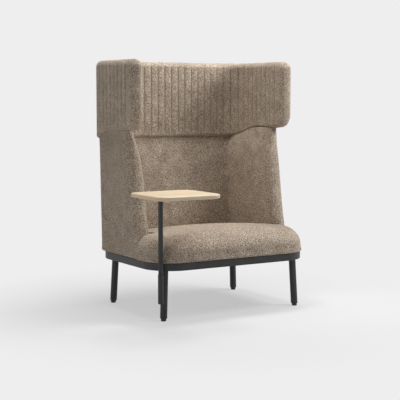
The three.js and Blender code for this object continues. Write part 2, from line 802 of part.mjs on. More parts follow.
function wingBoardOutline(margin, low) {
  const top = shellTop - 2 * boardCover + margin;
  const rear = shellBack - shellCornerRadius - 2 * boardCover + margin;
  const front = wingFront + noseDepth - margin;
  const topFront = wingFront + wingSlope + noseDepth - margin;
  const [kinkAlongShare, kinkUpShare] = [0.2, 0.3];
  const kink = [mix(front, topFront, kinkAlongShare), mix(seatBase, shellTop, kinkUpShare)];
  return [[front, low], [rear, low], [rear, top], [topFront, top], kink, [front, seatBase + deckThickness]];
}

function hoodBoardOutline(margin, low) {
  const top = hoodTop - hoodBoardMargin + margin;
  const rear = shellBack - shellCornerRadius - 2 * boardCover + margin;
  const front = hoodFront + hoodBoardFront - margin;
  const heel = wingFront + wingSlope + noseDepth - margin;
  const step = hoodBottomBack + hoodBottomRise + hoodLowFrontRadius - margin;
  return [[heel, low], [rear, low], [rear, top], [front, top], [front, step], [heel, step]];
}

function mirrorX(solid, side) {
  return side > 0 ? solid : solid.mirror([1, 0, 0]);
}

// Leans a piece back with the board of the backrest. Heights stay as they are.
function reclined(geometry) {
  const lean = new THREE.Matrix4();
  lean.elements[9] = reclineShare;
  return geometry.translate(0, 0, -seatBase).applyMatrix4(lean).translate(0, 0, seatBase);
}

const backBoardRear = ringBack - (ringFlange - boardThickness) / 2;
const backBoardHalf = shellHalf - shellCornerRadius - boardCover;

function backBoard(margin, low, high) {
  return reclined(box(-backBoardHalf - margin, backBoardHalf + margin,
    backBoardRear - boardThickness - margin, backBoardRear + margin, low, high));
}

function upright(side, margin) {
  const x = (side * uprightSpacing) / 2;
  const y = backBoardRear + gap;
  const low = hoodBottomBack - uprightBelow - margin;
  const high = hoodBottomBack + uprightAbove + margin;
  return reclined(box(x - uprightWidth / 2 - margin, x + uprightWidth / 2 + margin, y - margin,
    y + uprightThickness + margin, low, high));
}

function shellBoltPlaces() {
  const x = (sideBoardX(0)[0] + sideBoardX(0)[1]) / 2;
  const y = backBoardRear - boardThickness / 2;
  const rear = bendY - boardThickness * 2;
  const front = wingFront + noseDepth + boardThickness * 2;
  const across = uprightSpacing / 2;
  return [[-x, front], [-x, rear], [-across, y], [across, y], [x, rear], [x, front]];
}

function shellBolt() {
  const under = ringTop - ringWall - gap;
  return screw(shellBoltDiameter, shellBoltLength).translate(0, 0, under);
}

function boltBores() {
  const reach = shellBoltLength + overrun;
  return Manifold.union(shellBoltPlaces().map(([x, y]) => (
    toSolid(rod(shellBoltDiameter + 2 * gap, seatBase - overrun, seatBase + reach, 12).translate(x, y, 0)))));
}

const backBoardTop = shellTop - 2 * boardCover;
const hoodBackBoardLow = hoodBottomBack + boardCover;
const hoodBackBoardTop = hoodTop - hoodBoardMargin;
const hoodSideBoardLow = hoodBottomBack + hoodBottomRise + boardCover;

function addShell() {
  const hood = toSolid(hoodForm());
  const seatOn = Manifold.union([hood.translate([0, 0, -gap]), hood]);
  const shell = toSolid(shellForm()).subtract(seatOn);
  const uprights = [-1, 1].map((side) => toSolid(upright(side, gap)));
  const backSlot = toSolid(backBoard(gap, seatBase - overrun, backBoardTop + gap));
  const sideSlot = toSolid(sideBoard(wingBoardOutline(gap, seatBase - overrun), ...sideBoardX(gap)));
  const hoodSideSlot = toSolid(sideBoard(hoodBoardOutline(gap, hoodBottomBack), ...sideBoardX(gap)));
  const hoodBackSlot = toSolid(backBoard(gap, hoodBottomBack - overrun, hoodBackBoardTop + gap));

  for (const [hand, side] of [['left', -1], ['right', 1]]) {
    const pad = shell.intersect(wingSpace(side, 0)).subtract(mirrorX(sideSlot, side));
    add(`${hand}_wing_pad`, toGeometry(pad), wool);
    const core = toSolid(sideBoard(wingBoardOutline(0, seatBase), ...sideBoardX(0))).subtract(boltBores());
    add(`${hand}_wing_board`, toGeometry(mirrorX(core, side)), plywood);
    add(`${hand}_upright`, upright(side, 0), steel);
    const hoodCore = toSolid(sideBoard(hoodBoardOutline(0, hoodSideBoardLow), ...sideBoardX(0)));
    add(`${hand}_hood_board`, toGeometry(mirrorX(hoodCore, side)), plywood);
  }
  const backPad = shell.subtract(wingSpace(-1, gap)).subtract(wingSpace(1, gap))
    .subtract(backSlot).subtract(Manifold.union(uprights));
  add('back_pad', toGeometry(backPad), wool);
  const backCore = toSolid(backBoard(0, seatBase, backBoardTop)).subtract(boltBores());
  add('back_board', toGeometry(backCore), plywood);
  add('hood_back_board', backBoard(0, hoodBackBoardLow, hoodBackBoardTop), plywood);

  const band = hood.subtract(hoodChannels()).subtract(Manifold.union(uprights))
    .subtract(hoodBackSlot).subtract(hoodSideSlot).subtract(mirrorX(hoodSideSlot, -1));
  add('hood_upholstery', toGeometry(band), wool);
  shellBoltPlaces().forEach(([x, y], i) => add(`shell_bolt_${i + 1}`, shellBolt(), zinc, [x, y, 0]));
  deckScrewPlaces().forEach(([x, y], i) => {
    const under = ringTop - ringWall - gap;
    const reach = ringWall + deckThickness + gap;
    add(`deck_screw_${i + 1}`, screw(shellBoltDiameter, reach).translate(0, 0, under), zinc, [x, y, 0]);
  });
}

// Side table: fixed socket on the front left leg, and the table that swivels in it

function legCentreAt(side, end, z) {
  const [x, y] = legTop(side, end);
  const down = (legTopHeight - z) / legTopHeight;
  return [x + side * legSplaySide * down, y + end * legSplayLong * down];
}

function socketBracket() {
  const middle = bracketBottom + bracketHeight / 2;
  const [lx, ly] = legCentreAt(-1, -1, middle);
  const span = Math.hypot(postX - lx, postY - ly);
  const half = bracketThickness / 2;
  const web = box(0, span, -half, half, bracketBottom, bracketBottom + bracketHeight);
  web.rotateZ(Math.atan2(postY - ly, postX - lx)).translate(lx, ly, 0);
  const [tx, ty] = legTop(-1, -1);
  const legSpace = splayed(rod(legDiameter + 2 * gap, 0, legTopHeight, 48), -1, -1).translate(tx, ty, 0);
  const socketSpace = rod(socketDiameter + 2 * gap, 0, legTopHeight, 48).translate(postX, postY, 0);
  return toGeometry(toSolid(web).subtract(toSolid(legSpace)).subtract(toSolid(socketSpace)));
}

const bushOuter = socketDiameter / 2 - socketWall - gap;
const bushInner = spigotDiameter / 2 + runningGap;
const shoulderHeight = socketTop + gap + bushFlange + gap;
const tablePlateBottom = tabletopHeight - tabletopThickness - gap - tablePlateThickness;

function bush(top, flangeRadius) {
  const low = top - bushLength;
  const profile = [[bushInner, low], [bushOuter, low], [bushOuter, top], [flangeRadius, top],
    [flangeRadius, top + bushFlange], [bushInner, top + bushFlange], [bushInner, low]];
  return turned(profile, 24);
}

function lowerBush() {
  const low = socketBottom + socketCapThickness + gap;
  return turned([[bushInner, low], [bushOuter, low], [bushOuter, low + bushLength],
    [bushInner, low + bushLength], [bushInner, low]], 24);
}

function socketCap() {
  const r = bushOuter;
  const rim = socketDiameter / 2;
  const low = socketBottom - bushFlange;
  const high = socketBottom + socketCapThickness;
  return turned([[0, low], [rim - bushFlange / 2, low], [rim, low + bushFlange / 2],
    [rim, socketBottom - gap], [r, socketBottom - gap], [r, high], [0, high]], 24);
}

function tablePost() {
  const spigot = spigotDiameter / 2;
  const r = postDiameter / 2;
  const foot = socketBottom + socketCapThickness + gap;
  const top = tablePlateBottom - gap;
  return turned([[0, foot], [spigot, foot], [spigot, shoulderHeight], [r, shoulderHeight], [r, top],
    [0, top]], 24);
}

function tableScrewPlaces() {
  const reach = tablePlateSize / 2 - tableScrewInset;
  return [[-reach, -reach], [reach, -reach], [reach, reach], [-reach, reach]];
}

function tableHoles(bottom, height) {
  return Manifold.union(tableScrewPlaces().map(([x, y]) => (
    toSolid(rod(tableScrewDiameter + 2 * gap, bottom, bottom + height, 12).translate(x, y, 0)))));
}

function tableScrew() {
  const length = tablePlateThickness + gap + tableScrewLength * tableScrewReachShare;
  return screw(tableScrewDiameter, length).translate(0, 0, tablePlateBottom);
}

// The plate and the four screws that hold it, as one solid.
function tablePlate() {
  const sheet = slab(roundedRectangle(tablePlateSize, tablePlateSize, tablePlateRadius), tablePlateBottom,
    tablePlateThickness);
  const screws = tableScrewPlaces().map(([x, y]) => toSolid(tableScrew().translate(x, y, 0)));
  return toGeometry(Manifold.union([toSolid(sheet), ...screws]));
}

function tabletop() {
  const round = tabletopEdgeRound;
  const shape = roundedRectangle(tabletopWidth - 2 * round, tabletopDepth - 2 * round,
    tabletopCornerRadius - round);
  const board = new THREE.ExtrudeGeometry(shape, {
    depth: tabletopThickness - 2 * round,
    bevelThickness: round,
    bevelSize: round,
    bevelSegments: 3,
    curveSegments: 8,
  });
  board.translate(tabletopFromPostSide, -tabletopFromPostFront, tabletopHeight - tabletopThickness + round);
  const pilots = tableHoles(tabletopHeight - tabletopThickness - overrun, overrun + tableScrewLength);
  return toGeometry(toSolid(board).subtract(pilots));
}

function addTable() {
  const place = [postX, postY, 0];
  add('post_socket', tube(socketDiameter, socketWall, socketBottom, socketTop), steel, place);
  add('socket_bracket', socketBracket(), steel);
  add('upper_bush', bush(socketTop + gap, socketDiameter / 2), blackPlastic, place);
  add('lower_bush', lowerBush(), blackPlastic, place);
  add('socket_end_cap', socketCap(), blackPlastic, place);
  const swivel = new THREE.Group();
  swivel.position.set(...place);
  chair.add(swivel);
  add('table_post', tablePost(), steel, [0, 0, 0], swivel);
  add('table_plate', tablePlate(), steel, [0, 0, 0], swivel);
  add('tabletop', tabletop(), ash, [0, 0, 0], swivel);
}

addBase();
addSeat();
addShell();
addTable();

// The origin goes to the bottom centre of the box round the hood and the tabletop.
const tableLeft = postX + tabletopFromPostSide - tabletopWidth / 2;
const tableFront = postY - tabletopFromPostFront - tabletopDepth / 2;
chair.position.set(-(tableLeft + hoodHalf) / 2, -(tableFront + hoodBack) / 2, 0);

const part = new THREE.Group();
part.add(chair);
export default part;
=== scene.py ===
# Acoustic high back lounge chair: the finishes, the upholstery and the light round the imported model.
# Lengths are in metres. The chair faces -Y and stands on the floor at z = 0. Shapes are worked out in
# chair coordinates, whose origin is on the floor below the middle of the base ring.
import json
import math

import bmesh
import bpy
import numpy as np
from mathutils.bvhtree import BVHTree
from mathutils.kdtree import KDTree
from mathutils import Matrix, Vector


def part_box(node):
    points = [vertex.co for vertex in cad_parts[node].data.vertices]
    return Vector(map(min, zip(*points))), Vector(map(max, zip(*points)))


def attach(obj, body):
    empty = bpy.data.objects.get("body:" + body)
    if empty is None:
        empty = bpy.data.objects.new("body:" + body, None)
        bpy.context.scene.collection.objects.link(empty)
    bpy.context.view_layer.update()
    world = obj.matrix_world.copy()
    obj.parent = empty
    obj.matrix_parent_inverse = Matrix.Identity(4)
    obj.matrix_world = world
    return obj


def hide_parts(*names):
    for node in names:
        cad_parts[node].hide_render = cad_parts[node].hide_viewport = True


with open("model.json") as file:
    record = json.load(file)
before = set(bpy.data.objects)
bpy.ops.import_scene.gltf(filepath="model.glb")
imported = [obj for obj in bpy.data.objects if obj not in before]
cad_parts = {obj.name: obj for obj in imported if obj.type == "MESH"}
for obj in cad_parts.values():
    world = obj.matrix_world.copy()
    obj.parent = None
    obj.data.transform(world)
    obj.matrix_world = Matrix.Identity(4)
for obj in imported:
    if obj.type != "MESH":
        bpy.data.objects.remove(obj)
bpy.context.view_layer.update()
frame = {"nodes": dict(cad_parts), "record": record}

MM = 0.001
QUARTER = math.pi / 2
TINY = 1e-6


def node_box(name):
    return [np.array(corner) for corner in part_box(name)]


# Places read from the frame
RING_CORNERS = np.array([c for n in frame["nodes"] if n.startswith("ring_") for c in node_box(n)])
RING_LOW, RING_HIGH = RING_CORNERS.min(0), RING_CORNERS.max(0)
CENTRE = (RING_LOW + RING_HIGH) / 2 * (1, 1, 0)
RING_HALF, RING_DEEP = ((RING_HIGH - RING_LOW) / 2)[:2]
RING_BOTTOM, RING_TOP = RING_LOW[2], RING_HIGH[2]
HOOD_LOW, HOOD_HIGH = [c - CENTRE for c in node_box("hood_upholstery")]
HOOD_HALF, HOOD_FRONT, HOOD_BACK = HOOD_HIGH[0], HOOD_LOW[1], HOOD_HIGH[1]
HOOD_BOTTOM, HOOD_TOP = HOOD_LOW[2], HOOD_HIGH[2]
TABLE_LOW, TABLE_HIGH = [c - CENTRE for c in node_box("tabletop")]
POST_LOW, POST_HIGH = [c - CENTRE for c in node_box("table_post")]
POST_PLACE = ((POST_LOW + POST_HIGH) / 2)[:2]
BUSH_TOP = node_box("upper_bush")[1][2]
PLATE_LOW = node_box("table_plate")[0][2]

# Photograph's camera, in chair coordinates
PHOTO_SIDE_PX = 400
PHOTO_FOCAL_PX = 1101.3
SENSOR_MM = 36
CAMERA_PLACE = np.array((-3.0584, -4.9828, 1.1133))
CAMERA_TURN = 31.4
CAMERA_DIP = 5.38
CAMERA_REACH = 100

# Light
PAPER_WHITE = "EFEEEF"
WORLD_STRENGTH = 0.15
LAMP_RADIUS = 0.4
LAMPS = {  # place in chair coordinates, and watts
    "left_overhead_lamp": ((-0.6, -0.1, 3.0), 95),
    "right_overhead_lamp": ((0.7, 0.25, 3.0), 155),
    "right_front_lamp": ((1.5, -1.2, 1.9), 112),
    "right_lamp": ((1.5, -0.1, 1.9), 42),
    "left_lamp": ((-1.6, -0.4, 0.9), 13),
}
FLOOR_HALF = 30
FLOOR_REACH = (0.5, 1.6)  # distances from the origin between which the floor turns to plain paper
FLOOR_PAPER_SHARE = 0.6

# Base
RING_CORNER = 160 * MM
RING_FLANGE = 22 * MM
RING_WALL = 3 * MM
RING_EDGE = 2.5 * MM
LEG_TOP = 258.4 * MM
LEG_RADIUS = 18 * MM
LEG_FOOT = 13.3 * MM
LEG_EDGE = 1.2 * MM
LEG_WALL = 2.4 * MM
LEG_SPLAY = (12 * MM, 8 * MM)
GLIDE_RADIUS = 13.5 * MM
GLIDE_ROUND = 4 * MM
GLIDE_GAP = 0.3 * MM
GLIDE_SPIGOT = 4 * MM
BASE_CORNER_STEPS, BASE_EDGE_STEPS, GLIDE_STEPS = 24, 4, 6

# Seat
SEAT_OVERHANG = 8 * MM
SEAT_FRONT = -RING_DEEP - SEAT_OVERHANG
SEAT_CORNER = 170 * MM
SEAT_BASE = 293.7 * MM
SEAT_TUCK = 8 * MM
SEAT_TUCK_DRAW = 1.3  # how far the cushion's foot draws in for each millimetre of its tuck
SEAT_BULGE_LOW = 20 * MM
SEAT_BULGE_HIGH = 40 * MM
SEAT_EDGE_ROUND = 128 * MM
SEAT_SIDE_SHARE = 0.6
SEAT_HEIGHT = 440 * MM
SEAT_HIGHEST_SHARE = 0.33
SEAT_FRONT_FALL, SEAT_FRONT_CURVE = 13 * MM, 2
SEAT_REAR_FALL, SEAT_REAR_CURVE = 48 * MM, 1.6
SEAT_SIDE_FALL = 26 * MM
SEAT_HELD_SHARE = 0.14
SEAT_FRONT_STEPS, SEAT_CORNER_STEPS, SEAT_SIDE_STEPS = 60, 60, 12
SEAT_EAR_STEPS, SEAT_WING_STEPS, SEAT_REAR_STEPS = 6, 90, 80
SEAT_TUCK_STEPS, SEAT_EDGE_RINGS, SEAT_CROWN_RINGS = 5, 40, 70

# Shell
SHELL_HALF = RING_HALF + 8 * MM
SHELL_BACK = RING_DEEP + 37 * MM
SHELL_CORNER = 150 * MM
SHELL_TUCK = 7 * MM
SHELL_TAPER = 6 * MM
SHELL_TOP = 906 * MM
SHELL_LIFT_START = 0.45  # share of the height past which the covers' rings bend up to the hood's foot
WING_FRONT = -RING_DEEP + 220 * MM
WING_SLOPE = 109 * MM
WING_THICK = (98 * MM, 50 * MM)
WING_REAR_THICK = (116 * MM, 66 * MM)
WING_BELLY = 4 * MM
NOSE = 52 * MM
NOSE_LOW = 7 * MM
NOSE_START, NOSE_GROW = 0.03, 0.17  # shares of the height over which the wing's rounded nose grows
CREASE = 24 * MM
BACK_THICK = (99 * MM, 45 * MM)
BACK_CROWN = 12 * MM
SEAM_ROUND = 4 * MM
PAD_GAP = 0.6 * MM
WING_FRONT_SHARES = [(0, 0), (0.2, 0), (0.31, 0.115), (0.51, 0.31), (0.61, 0.41), (0.7, 0.52), (0.78, 0.63),
                     (0.87, 0.8), (1, 1)]
WING_THICK_SHARES = [(0, 0), (0.61, 0.03), (0.78, 0.21), (0.87, 0.56), (0.93, 0.87), (1, 1)]
WING_REAR_THICK_SHARES = [(0, 0), (0.78, 0.03), (0.87, 0.2), (0.93, 0.45), (1, 1)]
BACK_THICK_SHARES = [(0, 0), (0.18, 0), (1, 1)]
EASE_SHARE, EASE_SAMPLES = 0.05, 9  # over how much of the height the corners of those lines are eased
SEAM_SHARES = np.array((0, 0.08, 0.3, 0.6))  # places on the rolled edge beside a seam
STRAIGHT_STEPS, CORNER_STEPS, NOSE_STEPS, CREASE_STEPS = 40, 48, 24, 10
WING_POINTS, BACK_OUTER_POINTS, BACK_INNER_POINTS = 190, 116, 84
HIDDEN_STEPS, SHELL_TUCK_STEPS, SHELL_SEAM_STEPS, SHELL_RINGS = 16, 5, 4, 112

# Hood
HOOD_THICK = 70 * MM
HOOD_CORNER = 168 * MM
HOOD_EDGE_ROUND = 33 * MM
HOOD_FOOT_ROUND = 15 * MM
HOOD_TOP_FRONT = 44 * MM
HOOD_LOW_FRONT = 76 * MM
HOOD_RISE = 56 * MM
HOOD_RISE_START = 45 * MM
HOOD_RISE_LENGTH = 260 * MM
HOOD_STRAIGHT_STEPS, HOOD_CORNER_STEPS, HOOD_NOSE_STEPS = 60, 90, 20
HOOD_FOOT_STEPS, HOOD_EDGE_STEPS = 6, 9
HOOD_LOW_RINGS, HOOD_RINGS = 16, 44
SQUEEZE_REACH = 1.6  # how far the points before a stepped-back front give way, in its steps
CHANNEL_PITCH = 42 * MM
CHANNEL_DEPTH = 4.2 * MM
CHANNEL_TOP = 24 * MM
CHANNEL_FOOT = 24 * MM
CHANNEL_FADE = 24 * MM
CHANNEL_CURVE = 0.5
# Places of the points across a channel, close together at its seam
CHANNEL_SHARES = np.array((0, 0.035, 0.09, 0.17, 0.28, 0.42, 0.58, 0.72, 0.83, 0.91, 0.965))
# Painted shade: how closely the darkening of the cloth's colour keeps to the channels' seams
SEAM_SHADOW_CURVE = 2.5

STITCH_LENGTH = 6 * MM
STITCH_STEP = 9 * MM
STITCH_RISE = 1.2 * MM
SEAM_SHARE = 0.999  # channel depth that only the points on a seam reach
STITCHED_SHARE = 0.6  # channel depth past which its seam shows stitches
THREAD_RADIUS = 0.7 * MM  # about twice that of real thread, so that the stitches show
THREAD_SIDES, BOW_STEPS = 4, 4

# Table
TABLE_CORNER = 60 * MM
TABLE_EDGE = 6 * MM
TABLE_CORNER_STEPS, TABLE_EDGE_STEPS = 24, 7
PLATE_HALF = 55 * MM
PLATE_CORNER = 16 * MM
PLATE_EDGE = 0.8 * MM
PLATE_CORNER_STEPS, PLATE_EDGE_STEPS = 12, 4
PLATE_SCREW = 40 * MM
JOINT_GAP = 0.3 * MM
POST_RADIUS = 12 * MM
POST_SPIGOT = 9.5 * MM
POST_EDGE = 1 * MM
POST_EDGE_SHARE = 0.3
SHOULDER_SLOPE = 0.01 * MM
SCREW_HEAD = 4.75 * MM
SCREW_HEIGHT = 3 * MM
SCREW_TAPER_SHARE = 0.8
SCREW_SIDES = 32
HEX_ACROSS = 3 * MM
HEX_OUTSIDE_SHARE = 0.35
WELD = 5 * MM
WELD_WIDTH_SHARE = 0.9
WELD_ROOT = 1 * MM
WELD_GAP = 0.05 * MM
WELD_STEPS = 8

# Finishes: widths of what shows on each surface, and heights of its relief
LOOP, FLECK = 4.2 * MM, 4.6 * MM  # about half as wide on the real cloth, drawn coarser so that they show
PILE_BUMP = 2.2 * MM
CLOUD = 70 * MM
# Name of the hood's attribute that marks where painted shade darkens the cloth along the channel seams
SEAM_SHADE_ATTRIBUTE = "seam_painted_shade"
PEEL, PEEL_DEPTH = 1.2 * MM, 0.06 * MM
COAT_CLOUD = 60 * MM
GRAIN_LENGTH, GRAIN_WIDTH = 303 * MM, 21.65 * MM
PORE_LENGTH, PORE_WIDTH = 16.67 * MM, 1.111 * MM  # 0.3 mm wide on real ash, drawn coarser so that they show
PORE_DEPTH = 0.08 * MM
PLY_PAIR = 2.83 * MM
ZINC_CLOUD = 4 * MM
SPARK_GRAIN, SPARK_DEPTH = 0.9 * MM, 0.05 * MM  # about 0.1 mm wide on real mouldings, drawn coarser
THREAD_TWIST = 1.09 * MM  # about twice that of real thread, like its radius
# Waves that Blender's wave texture draws in one unit at scale 1, along an axis and along the diagonal
WAVES_STRAIGHT = 20 / math.tau
WAVES_DIAGONAL = 10 * math.sqrt(3) / math.tau

# Stuffing: how far the simulated covers swell, and how much smaller they start
VOXEL = 10 * MM
SWELL = 7 * MM
SWELL_EASE = 30 * MM  # simulated movement that gives about two thirds of the full swelling
START_SMALLER = 4 * MM
CLEAR = 90 * MM  # distance from the next cover at which a cover swells fully
BASE_CLEAR = 40 * MM  # the same from the base
PRESSURE = 4.0
CLOTH_QUALITY = 4
TAUT = 40  # rounds of evening the movement out
STUFFING_FRAMES = 12
NET_POINTS, NET_REACH = 6, 0.5 * MM


def mix(a, b, t):
    return a + (b - a) * t


def smoothstep(v):
    t = np.clip(v, 0, 1)
    return t * t * (3 - 2 * t)


def setback(radius, depth):
    """How far a quarter round stands back at a depth below its edge."""
    rest = np.maximum(0, radius - depth)
    return radius - np.sqrt(radius * radius - rest * rest)


def follow(pairs, place):
    """Straight lines between (place, value) pairs, with their corners eased."""
    x, y = zip(*pairs)
    steps = np.linspace(-EASE_SHARE, EASE_SHARE, EASE_SAMPLES)
    return float(np.mean([np.interp(place + step, x, y) for step in steps]))


def linear(code, gain=1):
    """sRGB hex to a linear colour, times a gain."""
    parts = [int(code[i:i + 2], 16) / 255 for i in (0, 2, 4)]
    return [gain * (c / 12.92 if c <= 0.04045 else ((c + 0.055) / 1.055) ** 2.4) for c in parts] + [1]


# Materials

def put(tree, kind, inputs=None, **settings):
    """Adds a node. An input is a value, or another node's output socket that is linked to it."""
    node = tree.nodes.new(kind)
    for key, value in settings.items():
        setattr(node, key, value)
    for key, value in (inputs or {}).items():
        if isinstance(value, bpy.types.NodeSocket):
            tree.links.new(value, node.inputs[key])
        else:
            node.inputs[key].default_value = value
    return node


def maths(tree, operation, a, b=0.0):
    return put(tree, "ShaderNodeMath", {0: a, 1: b}, operation=operation).outputs["Value"]


def vector(tree, **parts):
    return put(tree, "ShaderNodeCombineXYZ", parts).outputs["Vector"]


def noise(tree, place, size, detail, **more):
    inputs = {"Vector": place, "Scale": 1 / size, "Detail": detail, **more}
    return put(tree, "ShaderNodeTexNoise", inputs).outputs["Fac"]


def ramp(tree, share, *stops):
    """Colours in order, each with its place and its hex, and with a gain where it has one."""
    node = put(tree, "ShaderNodeValToRGB", {"Fac": share})
    band = node.color_ramp.elements
    for k, (place, *colour) in enumerate(stops):
        element = band[k] if k < len(band) else band.new(place)
        element.position = place
        element.color = linear(*colour)
    return node.outputs["Color"]


def blended(tree, share, a, b, way="MULTIPLY"):
    return put(tree, "ShaderNodeMix", {"Factor": share, "A": a, "B": b},
               data_type="RGBA", blend_type=way).outputs["Result"]


def relief(tree, height, depth, strength, **settings):
    inputs = {"Height": height, "Distance": depth, "Strength": strength}
    return put(tree, "ShaderNodeBump", inputs, **settings).outputs["Normal"]


def surface(tree, colour, roughness, more=()):
    inputs = {"Base Color": colour, "Roughness": roughness, **dict(more)}
    return put(tree, "ShaderNodeBsdfPrincipled", inputs).outputs["BSDF"]


def new_material(name, build):
    """Build makes the surface's shader from the tree and the place on the piece."""
    material = bpy.data.materials.new(name)
    material.use_nodes = True
    tree = material.node_tree
    tree.nodes.clear()
    shader = build(tree, put(tree, "ShaderNodeTexCoord").outputs["Object"])
    put(tree, "ShaderNodeOutputMaterial", {"Surface": shader})
    return material


def wool_cloth(tree, place):
    """Wool melange with a looped, brushed face: light and dark fibres lie in flecks a few millimetres wide,
    and the pile catches light at a flat angle. Painted shade darkens the colour along the sewn channels'
    seams."""
    flecks = noise(tree, place, FLECK, 4.0, Roughness=0.75)
    loops = put(tree, "ShaderNodeTexVoronoi", {
        "Vector": place, "Scale": 1 / LOOP, "Randomness": 1.0}).outputs["Distance"]
    clouds = noise(tree, place, CLOUD, 3.0, Roughness=0.6)
    # Painted shade: the hood's seam attribute darkens the colour along the channels' seams.
    seams = put(tree, "ShaderNodeAttribute", attribute_name=SEAM_SHADE_ATTRIBUTE).outputs["Fac"]
    colour = ramp(tree, flecks, (0.33, "5C5145"), (0.44, "9E8D7B"), (0.55, "D8C9B7"), (0.68, "FFF8EE"))
    for shade in (ramp(tree, loops, (0.1, "FFFFFF"), (0.8, "CBC8C5")),
                  ramp(tree, clouds, (0.3, "EEECEB"), (0.7, "FFFFFE", 1.14)),
                  ramp(tree, seams, (0.0, "FFFFFF"), (1.0, "C4BFBC"))):
        colour = blended(tree, 1.0, colour, shade)
    pile = maths(tree, "SUBTRACT", loops, flecks)
    return surface(tree, colour, 1.0, {
        "Specular IOR Level": 0.1, "Sheen Weight": 1.0, "Sheen Roughness": 0.3,
        "Sheen Tint": linear("E4D3C0"), "Normal": relief(tree, pile, PILE_BUMP, 1.0, invert=True)})


def powder_coat(tree, place):
    """Steel with a matt black polyester powder coat, whose fine orange peel breaks the highlight."""
    peel = noise(tree, place, PEEL, 2.0)
    clouds = noise(tree, place, COAT_CLOUD, 3.0)
    return surface(tree, ramp(tree, clouds, (0.3, "1E2021"), (0.7, "292B2C")), 0.48, {
        "Specular IOR Level": 0.45, "Normal": relief(tree, peel, PEEL_DEPTH, 0.4)})


def stretched(tree, place, length, width):
    """Place in grain lengths along X and in grain widths across."""
    return put(tree, "ShaderNodeMapping", {
        "Vector": place, "Scale": (1 / length, 1 / width, 1 / width)}).outputs["Vector"]


def lacquered_ash(tree, place):
    """Pale ash under clear matt lacquer: long straight grain along X, with darker end grain on the ends."""
    grain = noise(tree, stretched(tree, place, GRAIN_LENGTH, GRAIN_WIDTH), 1, 4.0,
                  Roughness=0.6, Distortion=0.6)
    pores = noise(tree, stretched(tree, place, PORE_LENGTH, PORE_WIDTH), 1, 2.0)
    wood = ramp(tree, grain, (0.3, "C9B492"), (0.5, "DAC8AB"), (0.7, "E4D5BC"))
    dark = ramp(tree, pores, (0.35, "F3EEE7"), (0.5, "FFFFFF"))
    facing = put(tree, "ShaderNodeSeparateXYZ", {
        "Vector": put(tree, "ShaderNodeNewGeometry").outputs["Normal"]})
    end = put(tree, "ShaderNodeMapRange", {
        "Value": maths(tree, "ABSOLUTE", facing.outputs["X"]), "From Min": 0.6, "From Max": 0.95})
    colour = blended(tree, end.outputs["Result"], blended(tree, 0.7, wood, dark), linear("CFB48C"), "MIX")
    return surface(tree, colour, 0.42, {
        "Coat Weight": 0.15, "Coat Roughness": 0.35, "Normal": relief(tree, pores, PORE_DEPTH, 0.5)})


def birch_plywood(tree, place):
    """Raw birch plywood: pale faces, and thin alternating plies that show on the cut edges."""
    plies = put(tree, "ShaderNodeTexWave", {
        "Vector": place, "Scale": 1 / (WAVES_STRAIGHT * PLY_PAIR), "Distortion": 0.4}, bands_direction="Z")
    return surface(tree, ramp(tree, plies.outputs["Fac"], (0.3, "B08F62"), (0.7, "D6B98C")), 0.75)


def zinc_plate(tree, place):
    """Bright zinc on steel screws, slightly clouded."""
    clouds = noise(tree, place, ZINC_CLOUD, 2.0)
    return surface(tree, ramp(tree, clouds, (0.3, "8E9091"), (0.7, "B7B8B6")), 0.35, {"Metallic": 1.0})


def moulded_nylon(tree, place):
    """Black moulded nylon with a faint spark-eroded grain."""
    grain = noise(tree, place, SPARK_GRAIN, 2.0)
    return surface(tree, ramp(tree, grain, (0.3, "141516"), (0.7, "1C1D1E")), 0.5, {
        "Normal": relief(tree, grain, SPARK_DEPTH, 0.4)})


def sewing_thread(tree, place):
    """Twisted polyester thread, a shade darker than the cloth."""
    twist = put(tree, "ShaderNodeTexWave", {
        "Vector": place, "Scale": 1 / (WAVES_DIAGONAL * THREAD_TWIST)}, bands_direction="DIAGONAL")
    return surface(tree, ramp(tree, twist.outputs["Fac"], (0.2, "5B4E41"), (0.8, "7C6C5A")), 0.8)


WOOL = new_material("wool_boucle_melange", wool_cloth)
COAT = new_material("powder_coated_steel", powder_coat)
ASH = new_material("lacquered_ash", lacquered_ash)
PLY = new_material("birch_plywood", birch_plywood)
ZINC = new_material("zinc_plated_steel", zinc_plate)
NYLON = new_material("moulded_nylon", moulded_nylon)
THREAD = new_material("sewing_thread", sewing_thread)


# Mesh helpers

def mesh_object(name, points, faces, material, sharp=50):
    """A mesh from points in chair coordinates. Caps with many corners are cut into triangles."""
    mesh = bpy.data.meshes.new(name)
    mesh.from_pydata([tuple(p) for p in np.asarray(points) + CENTRE], [], faces)
    shape = bmesh.new()
    shape.from_mesh(mesh)
    caps = [f for f in shape.faces if len(f.verts) > 4]
    bmesh.ops.triangulate(shape, faces=caps, ngon_method="EAR_CLIP")
    shape.to_mesh(mesh)
    shape.free()
    mesh.polygons.foreach_set("use_smooth", [True] * len(mesh.polygons))
    mesh.set_sharp_from_angle(angle=math.radians(sharp))
    mesh.materials.append(material)
    mesh.update()
    piece = bpy.data.objects.new(name, mesh)
    bpy.context.scene.collection.objects.link(piece)
    return piece


def finish_piece(piece, body, replaced=()):
    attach(piece, body)
    if replaced:
        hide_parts(*replaced)
    return piece


